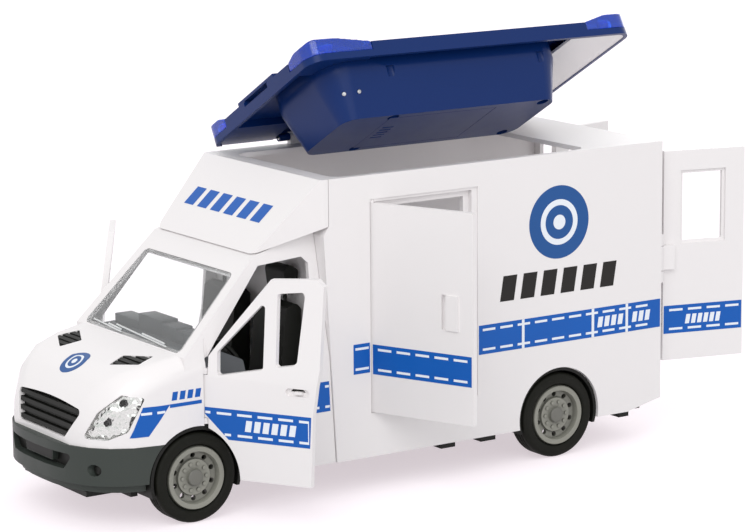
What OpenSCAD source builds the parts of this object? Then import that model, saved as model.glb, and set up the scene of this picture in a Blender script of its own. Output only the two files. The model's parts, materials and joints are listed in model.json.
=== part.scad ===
// Toy box van: a panel-van cab with a tall load box behind it, opening cab, side and rear
// doors, a lifting roof lid that carries the lamps and the electronics, and a friction drive.
// Lengths are in millimetres. Inside the modules X runs forward from the front axle, Y to the
// van's left and Z up from the ground. placed() then moves the van so that the origin is the
// middle of the flat underside of the chassis, halfway between the axles.

/* [Running gear] */
// Distance between the axles
wheelbase = 200; // [194:1:206]
// Radius of a tyre's tread
tyre_r = 20.5; // [19.5:0.25:21]
// Width of a tyre
tyre_w = 12; // [10:0.5:13]
// Radius of a rim under its tyre
rim_r = 14.5; // [13.5:0.25:15.5]
// How far the wheels' outer faces stand in from the box sides
wheel_inset = 0.9; // [0.5:0.1:2]
// Radius of the steel axles
axle_r = 1.5; // [1.2:0.1:2]
// Gap between a tyre's tread and its wheel arch
arch_gap = 3; // [2.5:0.25:4.5]
// Number of bolts and of cooling holes on a rim
rim_bolts = 10; // [6:1:12]

/* [Chassis] */
// Height of the flat underside above the ground
underside_z = 14; // [12:0.5:14.5]
// Thickness of the chassis plate
plate_t = 2.5; // [2:0.25:4]
// How far the chassis plate stands in from the box sides
plate_inset = 10.9; // [9:0.1:13]

/* [Cab] */
// How far the cab sides stand in from the box sides
cab_inset = 0.9; // [0.2:0.1:1.8]
// Reach of the nose ahead of the front axle
nose_x = 53; // [51:0.5:55]
// Height of the waistline, where the cab sides start to lean in
belt_z = 66; // [64:0.5:68]
// How far the cab sides lean in at the door top
side_lean = 6; // [4:0.5:7]
// Height of the windscreen's lower edge
screen_low_z = 75; // [74:0.5:76]
// Height of the windscreen's upper edge
screen_high_z = 108; // [106:0.5:110]
// Thickness of the moulded walls
wall = 2.2; // [1.8:0.1:2.6]

/* [Load box] */
// Distance from the front axle back to the box
box_gap_x = 70.3; // [69:0.1:72]
// Distance from the rear axle back to the box's rear face
overhang_x = 61.6; // [58:0.2:66]
// Width of the box
box_w = 101.8; // [101:0.2:104]
// Height of the roof above the ground
roof_z = 147.2; // [143:0.2:152]
// Width of the posts beside the rear doorway
rear_post_w = 7; // [6.5:0.25:9]

/* [Doors] */
// Thickness of a door
door_t = 3; // [2.6:0.1:3.4]
// Gap between a door and its frame
door_gap = 0.4; // [0.3:0.05:0.6]
// Radius of the steel hinge pins
pin_r = 0.8; // [0.6:0.05:0.9]
// Width of the side doorway, as a share of the wheelbase
side_door_share = 0.285; // [0.27:0.005:0.29]
// Height of the side and rear doorways' lower edge
door_low_z = 37; // [36.5:0.25:40]
// Height of the side doorway's upper edge
door_high_z = 134.6; // [128:0.2:136]
// Opening angle of the cab doors as the van stands
cab_door_open = 59; // [0:1:72]
// Opening angle of the side door as the van stands
side_door_open = 67; // [0:1:85]
// Opening angle of the rear doors as the van stands
rear_door_open = 104; // [0:1:118]

/* [Roof lid] */
// Opening angle of the roof lid as the van stands
lid_open = 29.5; // [0:0.5:70]
// How much shorter the lid is than the box
lid_short = 8.3; // [5:0.1:12]
// Height of the lid's rim
lid_h = 7.2; // [6.5:0.1:9]
// Height of the lamps above the lid
lamp_rise = 4; // [3:0.25:6]
// Depth of the electronics housing under the lid
housing_h = 24; // [22:0.5:28]
// Radius of a battery cell
cell_r = 5.2; // [4.8:0.1:5.4]
// Length of a battery cell
cell_l = 44; // [40:0.5:46]

/* [Friction drive] */
// Gear module
gear_m = 0.6; // [0.56:0.01:0.64]
// Teeth on the large gears
wheel_teeth = 30; // [28:2:30]
// Teeth on the pinions
pinion_teeth = 10; // [10:2:10]
// Radius of the flywheel
flywheel_r = 10; // [8.5:0.25:10.4]

/* [Hidden] */
$fn = 48;

// Small clearances
seat_gap = 0.05;    // between pieces that are fixed together
run_gap = 0.05;     // between a pin or axle and its bore
free_gap = 0.3;     // between faces that move past each other
cut = 1;            // how far a cutter passes the face it opens

// Colours
white = "#f1eff0";
blue = "#1d3f94";
lamp_blue = "#0b49d8";
dark_grey = "#4a4f51";
black = "#17181a";
rim_grey = "#96958d";

// Main stations along the van
axle_z = tyre_r;
plate_top = underside_z + plate_t;
sill_z = plate_top;
box_front = -box_gap_x;
rear_x = -wheelbase;
box_rear = rear_x - overhang_x;
box_l = box_front - box_rear;
box_half = box_w / 2;
cab_half = box_half - cab_inset;
plate_half_w = box_half - plate_inset;
side_door_w = side_door_share * wheelbase;
seam_z = 121.7;
seam_high = box_front + 2.9;
seam_low = box_front - 3.3;
seam_gap = 0.3;
sill_rise = 4.5;
sill_rise_l = 20;

// Wheels and axles
wheel_out = box_half - wheel_inset;
wheel_in = wheel_out - tyre_w;
arch_r = tyre_r + arch_gap;
liner_t = 1.5;
liner_r = arch_r - free_gap;
liner_in = wheel_in - 3;
boss_w = 6;
boss_out = liner_in - 1.5;
rim_dish = 3;

// Cab outline
screen_low_x = 4.8;
screen_high_x = -27.6;
screen_angle = atan2(screen_high_z - screen_low_z, screen_low_x - screen_high_x);
header_x = screen_high_x - 7;
header_z = screen_high_z + 7;
cab_roof_z = header_z + 9.4;
bumper_top = 38;
bumper_step = 21;
nose_start = 12;
nose_power = 2.6;

// Nose stations: place, drop of the bonnet below the windscreen's lower edge, shoulder radius
nose_stations = [
  [-4, -2, 8],
  [18, 2, 10],
  [30, 5, 12],
  [39, 10.5, 13],
  [45.5, 20.5, 12],
  [50, 34.5, 2]
];

// Cab door
hinge_x = -6.2;
hinge_y = cab_half - door_t / 2;
knuckle_low = 47.2;
knuckle_high = belt_z + 0.5;
lug_h = 2.6;
door_sill = sill_z + 4;
door_top = 111;

// Load box doors and roof opening
side_hinge_x = box_front - 22 - door_t / 2 - door_gap;
side_hinge_y = box_half - door_t / 2;
side_door_end = box_front - 22 - side_door_w + door_gap;
handle_x = side_door_end + 7.7;
handle_z = door_low_z + 43;
handle_h = 16;
jamb_t = 3;
peg_r = 1;
peg_l = 2.4;
rear_door_top = roof_z - 6;
rear_half = box_half - rear_post_w;
rear_pin_x = box_rear - 2.3;
rear_pin_y = rear_half + 2.7;
rear_pin_r = 1;
barrel_r = 2;
rear_lug_z = 83;
rear_lug_h = 12;
ear_h = 5.5;
floor_z = door_low_z - 1.5;
floor_t = 2;

// Lid
lid_l = box_l - lid_short;
lid_front = box_front + 1.3;
lid_rear = lid_front - lid_l;
lid_bottom = roof_z + 1.5;
lid_top = lid_bottom + lid_h;
lid_far = -box_half;
lid_near = box_half + 2.1;
lid_wall = 2;
lid_corner_r = 9;
lid_pin_r = 1;
lid_barrel_r = 1.9;
lid_pin_y = lid_far + lid_barrel_r - 0.4;
lid_pin_z = lid_bottom + lid_barrel_r;
lid_ear_w = 8;
lamp_front_l = 34;
lamp_rear_l = 27;
lamp_w = 20;
lamp_seat_t = 1.6;
lamp_floor = lid_bottom + 3.2;
lid_ears = [lid_front - lamp_front_l - 14, lid_front - lid_l / 2, lid_rear + lamp_rear_l + 14];
lid_barrel_from = lid_rear + lamp_rear_l + 4;
lid_barrel_to = lid_front - lamp_front_l - 4;

// Electronics housing, hung under the lid plate
housing_top = lid_top - lid_wall;
housing_front = lid_front - 12;
housing_rear = lid_rear + 38;
housing_near = box_half - 6.5;
housing_far = housing_near - 0.55 * box_w;
housing_draft = 6.5;
housing_bottom = lid_bottom - housing_h;
housing_r = 14;
opening_front = housing_front + 6;
opening_rear = housing_rear - 4;
opening_near = box_half - wall - 1;
opening_far = lid_far + 13.3;
cell_pitch = 2 * cell_r + 0.6;
cell_z = housing_bottom + lid_wall + 1 + cell_r;
cell_x = (housing_front + housing_rear) / 2 + 4;
cell_y = (housing_near + housing_far) / 2;
contact_t = 0.8;
cover_l = cell_l + 16;
cover_w = 3 * cell_pitch + 3;
board_z = housing_top - 6;
speaker_r = 14;
speaker_x = housing_rear + 30;

// Friction drive: axle, countershaft and flywheel shaft in one row ahead of the rear axle
wheel_pitch_r = gear_m * wheel_teeth / 2;
pinion_pitch_r = gear_m * pinion_teeth / 2;
shaft_step = wheel_pitch_r + pinion_pitch_r;
counter_x = rear_x + shaft_step;
fly_x = counter_x + shaft_step;
shaft_r = 1;
casing_half_w = 12;
casing_wall = 1.4;
casing_r = wheel_pitch_r + gear_m + 1.2 + casing_wall;
gear_w = 4;

// Screws that hold the mouldings on the chassis: place and height of the post above the plate
screw_r = 1.3;
screw_head_r = 2.6;
screw_head_h = 1.4;
post_r = 3;
post_y = plate_half_w - 6;
bumper_post_y = cab_half - 28;
box_posts = [
  [box_front - 22, post_y], [box_front - 22, -post_y], [box_rear + 20, post_y], [box_rear + 20, -post_y]
];
cab_posts = [[box_front + 8, post_y], [box_front + 8, -post_y]];
bumper_posts = [[34, bumper_post_y], [34, -bumper_post_y]];
tabs = [[rear_x + 64, 8], [rear_x + 41, 8.5], [rear_x - 40, 6]];

// Helpers

// Moves the van so that the middle of the chassis underside is the origin
module placed() {
  translate([wheelbase / 2, 0, -underside_z]) children();
}

// Extrudes an outline in X and Z across the van, from y0 to y1
module across(y0, y1) {
  translate([0, y1, 0]) rotate([90, 0, 0]) linear_extrude(y1 - y0) children();
}

// Extrudes an outline in Y and Z along the van, from x0 to x1
module along(x0, x1) {
  translate([x0, 0, 0]) rotate([90, 0, 90]) linear_extrude(x1 - x0) children();
}

// Block between two corners
module block(low, high) {
  translate(low) cube(high - low);
}

// Cylinder across the van, from y0 to y1
module bar_y(x, z, r, y0, y1) {
  translate([x, y0, z]) rotate([-90, 0, 0]) cylinder(r = r, h = y1 - y0);
}

// Both sides of the van
module both_sides() {
  children();
  mirror([0, 1, 0]) children();
}

// Turns children about an upright axis
module swing(x, y, angle) {
  translate([x, y, 0]) rotate([0, 0, angle]) translate([-x, -y, 0]) children();
}

// Turns children with the roof lid
module on_lid() {
  translate([0, lid_pin_y, lid_pin_z]) rotate([lid_open, 0, 0])
    translate([0, -lid_pin_y, -lid_pin_z]) children();
}

// Outline with rounded outer corners
module rounded(r) {
  offset(r = r) offset(delta = -r) children();
}

// Cab form

// Half width of the nose at x, a superellipse in plan
function nose_half_w(x, grow) =
  (cab_half + grow) * pow(1 - pow(max(0, (x - nose_start) / (nose_x + grow - nose_start)), nose_power),
    1 / nose_power);

// Section of the nose with rounded shoulders
function shoulder_section(half_w, top, base, r) = concat(
  [[-half_w, base], [half_w, base]],
  [for (a = [0 : 15 : 90]) [half_w - r + r * cos(a), top - r + r * sin(a)]],
  [for (a = [90 : 15 : 180]) [-half_w + r + r * cos(a), top - r + r * sin(a)]]
);

// Nose with bonnet and wings, shrunk by inset
module nose_body(inset, base = bumper_top) {
  hull() for (s = nose_stations) translate([s[0] - inset, 0, 0]) rotate([90, 0, 90])
    linear_extrude(0.02) polygon(shoulder_section(nose_half_w(s[0], 0) - inset,
      screen_low_z - s[1] - inset, base, max(s[2] - inset, 0.4)));
}

// Side outline of the passenger cell, its rear and lower edges let out by ext
function cell_outline(ext) = [
  [seam_low + seam_gap - ext, sill_z - ext],
  [screen_low_x, sill_z - ext],
  [screen_low_x, screen_low_z],
  [screen_high_x, screen_high_z],
  [header_x, header_z],
  [seam_high + seam_gap - ext, cab_roof_z + 0.27 * ext]
];

// Half width of the cab side at a height
function cab_side_y(z) = cab_half - side_lean * max(0, z - belt_z) / (door_top - belt_z);

// Section of the passenger cell
function cell_section(top, ext) = [
  [-cab_half, sill_z - ext], [cab_half, sill_z - ext], [cab_half, belt_z],
  [cab_side_y(top), top], [-cab_side_y(top), top], [-cab_half, belt_z]
];

// Passenger cell: solid outside form for inset 0, and the hollow for a wall of inset
module cell_body(inset) {
  ext = inset > 0 ? 10 : 0;
  intersection() {
    across(-60, 60) offset(delta = -inset) polygon(cell_outline(ext));
    along(-100, 20) offset(delta = -inset) polygon(cell_section(cab_roof_z + 12, ext));
  }
}

// Frame of the windscreen's plane: children are drawn flat, y up the slope
module on_screen() {
  translate([screen_low_x, 0, screen_low_z]) rotate([0, screen_angle - 90, 0]) rotate([90, 0, 90])
    children();
}

screen_l = norm([screen_high_x - screen_low_x, screen_high_z - screen_low_z]);

// Outline of the windscreen glass
module screen_outline(grow) {
  offset(delta = grow) rounded(3) polygon([[7 - cab_half, 1.2], [cab_half - 7, 1.2],
    [cab_half - 11.5, screen_l - 0.5], [11.5 - cab_half, screen_l - 0.5]]);
}

// Side outline of a cab door
module cab_door_outline() {
  difference() {
    polygon([
      [hinge_x, door_sill], [hinge_x, belt_z + 6.5], [-12, belt_z + 14],
      [header_x - 2.4, door_top - 0.6], [header_x - 25, door_top + 1], [box_front + 7.6, door_top - 2],
      [box_front + 7.8, belt_z + 7], [box_front + 10.8, belt_z - 14], [box_front + 12, door_sill]
    ]);
    translate([0, axle_z]) circle(r = arch_r);
  }
}

// Windows of a cab door
module cab_door_windows() {
  rounded(1.4) polygon([[-40.5, 104.5], [-53, 106], [-53.8, 104], [-51.5, belt_z + 9.5],
    [-49.5, belt_z + 8], [-41.2, belt_z + 6.5]]);
  rounded(1.4) polygon([[-12.3, belt_z + 11], [-34.8, 101], [-35.2, belt_z + 5.2], [-12.8, belt_z + 0.6]]);
}

// Headlight outline on an upright plane turned 40 degrees outwards
headlight_turn = 40;
headlight_outline = [[-5.4, 42], [6, 41.5], [15, 45], [21.7, 60], [12, 61.5], [1.5, 53.5]];

// Prism through the left headlight
module headlight_prism(grow) {
  translate([0, cab_half - 50, 0]) rotate([0, 0, headlight_turn]) along(0, 80) offset(delta = grow)
    rounded(1.2) polygon(headlight_outline);
}

grille_top = 55;
grille_arch = 1.6;

// Grille opening with an arched upper edge
module grille_prism(grow) {
  along(30, 60) offset(delta = grow) rounded(2)
    polygon(concat([[cab_half - 29, 40.4], [29 - cab_half, 40.4]],
      [for (k = [-4 : 4]) [(cab_half - 20.5) * k / 4, grille_top - grille_arch * pow(k / 4, 2)]]));
}

// Left bonnet vent in plan
module vent_prism(grow) {
  translate([0, cab_half - 50, 50]) linear_extrude(40) offset(delta = grow) rounded(0.6)
    polygon([[27.8, 22.9], [18.5, 19.2], [11.5, 34], [21, 37.5]]);
}

// Chassis and its fasteners

// Wheel house round one wheel, left side
module wheel_house(x) {
  translate([x, 0, 0]) difference() {
    union() {
      bar_y(0, axle_z, liner_r, liner_in - liner_t, wheel_out - 0.5);
      block([-boss_w, boss_out - boss_w, underside_z], [boss_w, boss_out, axle_z + 4]);
    }
    bar_y(0, axle_z, liner_r - liner_t, liner_in, wheel_out + cut);
    bar_y(0, axle_z, axle_r + run_gap, boss_out - boss_w - cut, liner_in + cut);
    block([-50, 0, -10], [50, 60, underside_z]);
  }
}

// Axle gap through the plate and the drive casing's bay
module plate_openings() {
  for (x = [0, rear_x])
    block([x - arch_r - 1, liner_in - liner_t, 0], [x + arch_r + 1, 60, plate_top + cut]);
  block([rear_x - casing_r - 1, -casing_half_w - 1, 0], [fly_x + casing_r + 1, casing_half_w + 1, 40]);
}

module chassis() {
  color(black) difference() {
    union() {
      difference() {
        block([box_rear + 4, -plate_half_w, underside_z], [28, plate_half_w, plate_top]);
        both_sides() plate_openings();
      }
      both_sides() for (x = [0, rear_x]) wheel_house(x);
      block([24, -tongue_half_w, underside_z], [44, tongue_half_w, plate_top]);
      both_sides() for (t = tabs)
        block([t[0] - t[1] / 2, plate_half_w - cut, underside_z],
          [t[0] + t[1] / 2, box_half - 1.2, plate_top]);
      for (x = [box_front - 40, fly_x + 26, rear_x - 36])
        block([x - 0.8, 12 - plate_half_w, plate_top - cut], [x + 0.8, plate_half_w - 12, floor_z - floor_t]);
      both_sides() block([box_front - 36, plate_half_w - 22, plate_top - cut],
        [box_front - 10, plate_half_w - 20.4, floor_z - floor_t]);
      for (x = [box_front + 8.3, -28]) both_sides()
        block([x - 1, plate_half_w - 26, plate_top - cut], [x + 1, plate_half_w - 10, cab_floor_z]);
    }
    for (p = concat(box_posts, cab_posts, bumper_posts)) translate([p[0], p[1], 0]) {
      translate([0, 0, underside_z - cut]) cylinder(r = screw_r + free_gap, h = plate_t + 2 * cut);
      translate([0, 0, underside_z - cut]) cylinder(r = screw_head_r + free_gap, h = screw_head_h + cut);
    }
  }
}

tongue_half_w = cab_half - 21;
cab_floor_z = plate_top + 13;
cab_floor_t = 2;

// Screw with a pan head, pointing up from the underside
module chassis_screw(p) {
  translate([p[0], p[1], underside_z]) {
    cylinder(r = screw_r, h = plate_t + 9);
    difference() {
      cylinder(r = screw_head_r, h = screw_head_h - 0.1);
      for (a = [0, 90]) rotate([0, 0, a]) block([-1.6, -0.3, -cut], [1.6, 0.3, 0.8]);
    }
  }
}

module chassis_screws() {
  color("silver") for (p = concat(box_posts, cab_posts, bumper_posts)) chassis_screw(p);
}

// Post with a blind hole that takes a chassis screw, standing on the plate
module screw_post(p, h) {
  translate([p[0], p[1], plate_top]) difference() {
    cylinder(r = post_r, h = h);
    translate([0, 0, -cut]) cylinder(r = screw_r + seat_gap, h = 10 + cut);
  }
}

// Web from a post out to the side wall
module post_web(p, y_wall, h) {
  side = sign(p[1]);
  y_post = abs(p[1]) + 2;
  block([p[0] - 0.8, min(side * y_post, side * y_wall), plate_top],
    [p[0] + 0.8, max(side * y_post, side * y_wall), plate_top + h]);
}

// Front bumper
module bumper_plan(grow) {
  polygon(concat(
    [for (t = [-90 : 7.5 : 90]) [
      nose_start + (nose_x + 1 + grow - nose_start) * pow(cos(t), 2 / nose_power),
      sign(sin(t)) * (cab_half + grow) * pow(abs(sin(t)), 2 / nose_power)]],
    [[nose_start - 30, cab_half + grow], [nose_start - 30, -cab_half - grow]]));
}

module bumper_form(inset) {
  translate([0, 0, bumper_step + inset]) linear_extrude(bumper_top - bumper_step - 2 * inset)
    bumper_plan(-inset);
  translate([0, 0, sill_z + 0.8 - inset]) linear_extrude(bumper_step - sill_z + 2 * inset)
    bumper_plan(-3.4 - inset);
}

// Air intake in the bumper
module intake_outline() {
  polygon([[22 - cab_half, 34], [cab_half - 22, 34], [cab_half - 27, 27], [27 - cab_half, 27]]);
}

// Raised plate in the intake
module intake_plate() {
  polygon([[-13, 34.5], [13, 34.5], [12, 28.6], [-12, 28.6]]);
}

module front_bumper() {
  color(dark_grey) difference() {
    union() {
      difference() {
        bumper_form(0);
        difference() {
          bumper_form(wall);
          along(44, 60) offset(delta = 2) intake_outline();
          both_sides() block([30, cab_half - 17, 21], [60, cab_half - 7, 33]);
        }
      }
      for (p = bumper_posts) screw_post(p, bumper_top - plate_top - cut);
    }
    bar_y(0, axle_z, arch_r, -60, 60);
    block([-40, -60, 0], [12, 60, 60]);
    difference() {
      along(48.5, 60) rounded(1.5) intake_outline();
      along(40, nose_x - 1.5) intake_plate();
    }
    both_sides() translate([40, cab_half - 12.5, 28]) rotate([0, 90, 0]) cylinder(r = 2.6, h = 20);
    for (p = bumper_posts) translate([p[0], p[1], plate_top - cut])
      cylinder(r = screw_r + seat_gap, h = 11);
    block([24 - free_gap, -tongue_half_w - free_gap, 0],
      [44 + free_gap, tongue_half_w + free_gap, plate_top]);
  }
}

// Cab shell

// Hinge lugs of the left cab door
module cab_lugs() {
  for (z = [knuckle_low - free_gap - lug_h, knuckle_high + free_gap]) translate([0, 0, z]) {
    translate([hinge_x, hinge_y, 0]) cylinder(r = door_t / 2, h = lug_h);
    block([hinge_x, hinge_y - door_t / 2, 0],
      [hinge_x + door_t / 2 + door_gap + 1, hinge_y + door_t / 2 - 0.4, lug_h]);
  }
}

// Opening for the left cab door, with room for its hinge edge
module cab_doorway() {
  across(cab_half - side_lean - 12, 60) {
    offset(delta = door_gap) cab_door_outline();
    translate([hinge_x - 4, knuckle_low - 10]) square([4 + door_t / 2 + door_gap, knuckle_high + 9
      - knuckle_low + lug_h]);
  }
}

module cab_shell() {
  color(white) difference() {
    union() {
      difference() {
        union() {
          cell_body(0);
          nose_body(0);
        }
        cell_body(wall);
        nose_body(wall, sill_z - 5);
        both_sides() cab_doorway();
        both_sides() bar_y(0, axle_z, arch_r, liner_in - 4, 60);
        on_screen() translate([0, 0, -8]) linear_extrude(20) screen_outline(-1.6);
        on_screen() translate([0, 0, -1.4]) linear_extrude(10) screen_outline(seat_gap);
        grille_prism(0);
        both_sides() headlight_prism(0);
        both_sides() difference() {
          vent_prism(0);
          nose_body(1.2);
        }
      }
      both_sides() cab_lugs();
      for (p = cab_posts) {
        screw_post(p, cab_floor_z - plate_top - free_gap);
        post_web(p, cab_half - 1, cab_floor_z - plate_top - free_gap);
      }
    }
    both_sides() translate([hinge_x, hinge_y, knuckle_low - 5]) cylinder(r = pin_r + seat_gap, h = 40);
    for (p = cab_posts) translate([p[0], p[1], plate_top - cut]) cylinder(r = screw_r + seat_gap, h = 11);
  }
}

module cab_door_pins() {
  pin_low = knuckle_low - free_gap - lug_h;
  color("silver") both_sides() translate([hinge_x, hinge_y, pin_low])
    cylinder(r = pin_r, h = knuckle_high + free_gap + lug_h - pin_low);
}

// Left cab door, shut
module cab_door_shut() {
  difference() {
    union() {
      difference() {
        intersection() {
          difference() {
            cell_body(0);
            cell_body(door_t);
          }
          across(cab_half - side_lean - 12, 60) cab_door_outline();
        }
        for (z = [knuckle_low - 12, knuckle_high])
          block([hinge_x - door_t / 2 - door_gap, 40, z], [10, 60, z + 12]);
        across(30, 60) cab_door_windows();
        across(cab_half - 1.4, 60) translate([-52, belt_z - 3.5]) {
          translate([-4, -1.7]) square([8, 3.4]);
          for (x = [-4, 4]) translate([x, 0]) circle(r = 1.7);
        }
      }
      translate([hinge_x, hinge_y, knuckle_low]) cylinder(r = door_t / 2, h = knuckle_high - knuckle_low);
      across(cab_half - 1.4, cab_half + 0.6) translate([-54.5, belt_z - 4.1]) square([3.4, 1.2]);
    }
    translate([hinge_x, hinge_y, knuckle_low - cut]) cylinder(r = pin_r + run_gap, h = 40);
  }
}

module cab_door_left() {
  color(white) swing(hinge_x, hinge_y, -cab_door_open) cab_door_shut();
}

module cab_door_right() {
  color(white) mirror([0, 1, 0]) swing(hinge_x, hinge_y, -cab_door_open) cab_door_shut();
}

module windscreen() {
  color("#cfd8dc", 0.35) on_screen() translate([0, 0, -1.4]) linear_extrude(1.4) screen_outline(0);
}

module grille() {
  color(black) {
    difference() {
      intersection() {
        nose_body(wall + seat_gap);
        grille_prism(1.2);
      }
      nose_body(wall + 1.5, bumper_top - cut);
    }
    for (k = [0 : 3]) intersection() {
      difference() {
        nose_body(0.5);
        nose_body(wall + 0.4, bumper_top - cut);
      }
      grille_prism(-0.2);
      block([30, -40, 41.2 + 3.4 * k], [60, 40, 42.9 + 3.4 * k]);
    }
  }
}

module bonnet_vents() {
  color(black) both_sides() difference() {
    intersection() {
      nose_body(0.1);
      vent_prism(-0.1);
    }
    nose_body(1.15);
    difference() {
      for (k = [0 : 4]) translate([12.5 + 3.2 * k, 0, 0]) block([0, 10, 60], [1.2, 50, 90]);
      nose_body(0.6);
    }
  }
}

module headlight_reflector() {
  difference() {
    intersection() {
      nose_body(wall + seat_gap);
      headlight_prism(1);
    }
    nose_body(wall + 1.8, bumper_top - cut);
  }
}

module headlight_lens() {
  difference() {
    intersection() {
      nose_body(0.2);
      headlight_prism(-0.1);
    }
    nose_body(1.3, bumper_top - cut);
  }
}

module headlight_reflector_left() {
  color("silver") headlight_reflector();
}

module headlight_reflector_right() {
  color("silver") mirror([0, 1, 0]) headlight_reflector();
}

module headlight_lens_left() {
  color("#dfe6ea", 0.4) headlight_lens();
}

module headlight_lens_right() {
  color("#dfe6ea", 0.4) mirror([0, 1, 0]) headlight_lens();
}

// Fairing that carries the cab roof up to the box
module fairing_form(inset) {
  low_x = header_x - 0.6;
  intersection() {
    across(-60, 60) offset(delta = -inset) polygon([[box_front - cut * inset, cab_roof_z + 1.6],
      [low_x, header_z + 0.8], [box_front + 4, roof_z], [box_front - cut * inset, roof_z]]);
    translate([0, 0, 80]) linear_extrude(80) offset(delta = -inset) rounded(5)
      polygon([[box_front - 12, box_half], [box_front + 2, box_half], [low_x, box_half - 8.5],
        [low_x, -box_half + 8.5], [box_front + 2, -box_half], [box_front - 12, -box_half]]);
    block([box_front + seam_gap - inset, -60, 80], [20, 60, 160]);
  }
}

module roof_fairing() {
  color(white) difference() {
    fairing_form(0);
    translate([-wall, 0, 0]) fairing_form(wall);
  }
}

// Cab interior
dash_half_w = cab_half - 7;

module dashboard() {
  color("#5b6063") difference() {
    union() {
      across(-dash_half_w, dash_half_w) rounded(2) polygon([[-30, 52], [-8, 48], [-1, 52], [1, 70],
        [-5, 73.5], [-18, 74], [-29, 69], [-31, 60]]);
      both_sides() block([hinge_x + door_t / 2 + door_gap + 1.4, dash_half_w - cut, 52],
        [0.6, cab_half - wall - seat_gap, 63]);
    }
    across(seat_y - 12, seat_y + 12) rounded(1.5) polygon([[-40, 69], [-25, 69], [-25, 61], [-40, 61]]);
    across(-14, 4) rounded(1) polygon([[-40, 67], [-28, 67], [-28, 55], [-40, 55]]);
    both_sides() bar_y(0, axle_z, arch_r + 1, liner_in - 4, 60);
  }
}

steer_x = -34;
steer_z = 66;
steer_tilt = -60;

module steering_wheel() {
  color(black) translate([steer_x, seat_y, steer_z]) rotate([0, steer_tilt, 0]) {
    rotate_extrude() translate([8.5, 0]) circle(r = 1.1);
    for (a = [90, 210, 330]) rotate([0, 0, a]) block([0, -0.9, -0.7], [8.5, 0.9, 0.5]);
    cylinder(r = 2.6, h = 1.4, center = true);
    translate([0, 0, -7.4]) cylinder(r = 1.3, h = 7.4);
  }
}

seat_w = 0.54 * cab_half;
seat_y = 0.44 * cab_half;

// One seat with its headrest, standing on the cab floor
module seat(y) {
  base = cab_floor_z + cab_floor_t;
  translate([0, y, 0]) {
    across(-seat_w / 2, seat_w / 2) rounded(2) polygon([[-61, base], [-34, base], [-31, base + 8],
      [-32, base + 16], [-36, base + 18], [-52, base + 15], [-57, base + 56], [-62, base + 58],
      [-65, base + 55], [-64, base + 20]]);
    across(-8, 8) rounded(2.4) polygon([[-60.5, base + 61], [-66, base + 61], [-67, base + 72],
      [-62, base + 75], [-59, base + 72]]);
    for (s = [-4, 4]) translate([-62.2, s, base + 52]) cylinder(r = 0.9, h = 14);
  }
}

module seat_left() {
  color(black) seat(seat_y);
}

module seat_right() {
  color(black) seat(-seat_y);
}

module cab_floor() {
  color("#5b6063") block([box_front + 5, -cab_half + door_t + 1, cab_floor_z],
    [-arch_r - 1.5, cab_half - door_t - 1, cab_floor_z + cab_floor_t]);
}

// Load box
function box_outline(ext) = [
  [box_rear, sill_z + sill_rise - ext], [box_rear + sill_rise_l, sill_z - ext], [seam_low, sill_z - ext],
  [seam_high, seam_z], [box_front, seam_z + 4.3], [box_front, roof_z], [box_rear, roof_z]
];

// Upright slab of the side doorway from y0 to y1, let out by grow
module side_doorway(y0, y1, grow) {
  block([side_door_end - door_gap - grow, y0, door_low_z - grow],
    [box_front - 22 + grow, y1, door_high_z + grow]);
}

// Ears on the box that hold a rear door's hinge pin, left side
module rear_ears() {
  for (z = [rear_lug_z - ear_h - free_gap, rear_lug_z + rear_lug_h + free_gap]) {
    translate([rear_pin_x, rear_pin_y, z]) cylinder(r = barrel_r, h = ear_h);
    block([rear_pin_x, rear_pin_y - 0.8, z], [box_rear + cut, rear_pin_y + barrel_r, z + ear_h]);
  }
}

// Ears on the roof that hold the lid's hinge pin
module lid_ears_on_roof() {
  for (x = lid_ears) {
    bar_x(x - lid_ear_w / 2, x + lid_ear_w / 2, lid_pin_y, lid_pin_z, lid_barrel_r);
    block([x - lid_ear_w / 2, lid_pin_y - lid_barrel_r + 0.4, roof_z - cut],
      [x + lid_ear_w / 2, lid_pin_y + lid_barrel_r, lid_pin_z]);
  }
}

// Cylinder along the van
module bar_x(x0, x1, y, z, r) {
  translate([x0, y, z]) rotate([0, 90, 0]) cylinder(r = r, h = x1 - x0);
}

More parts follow.
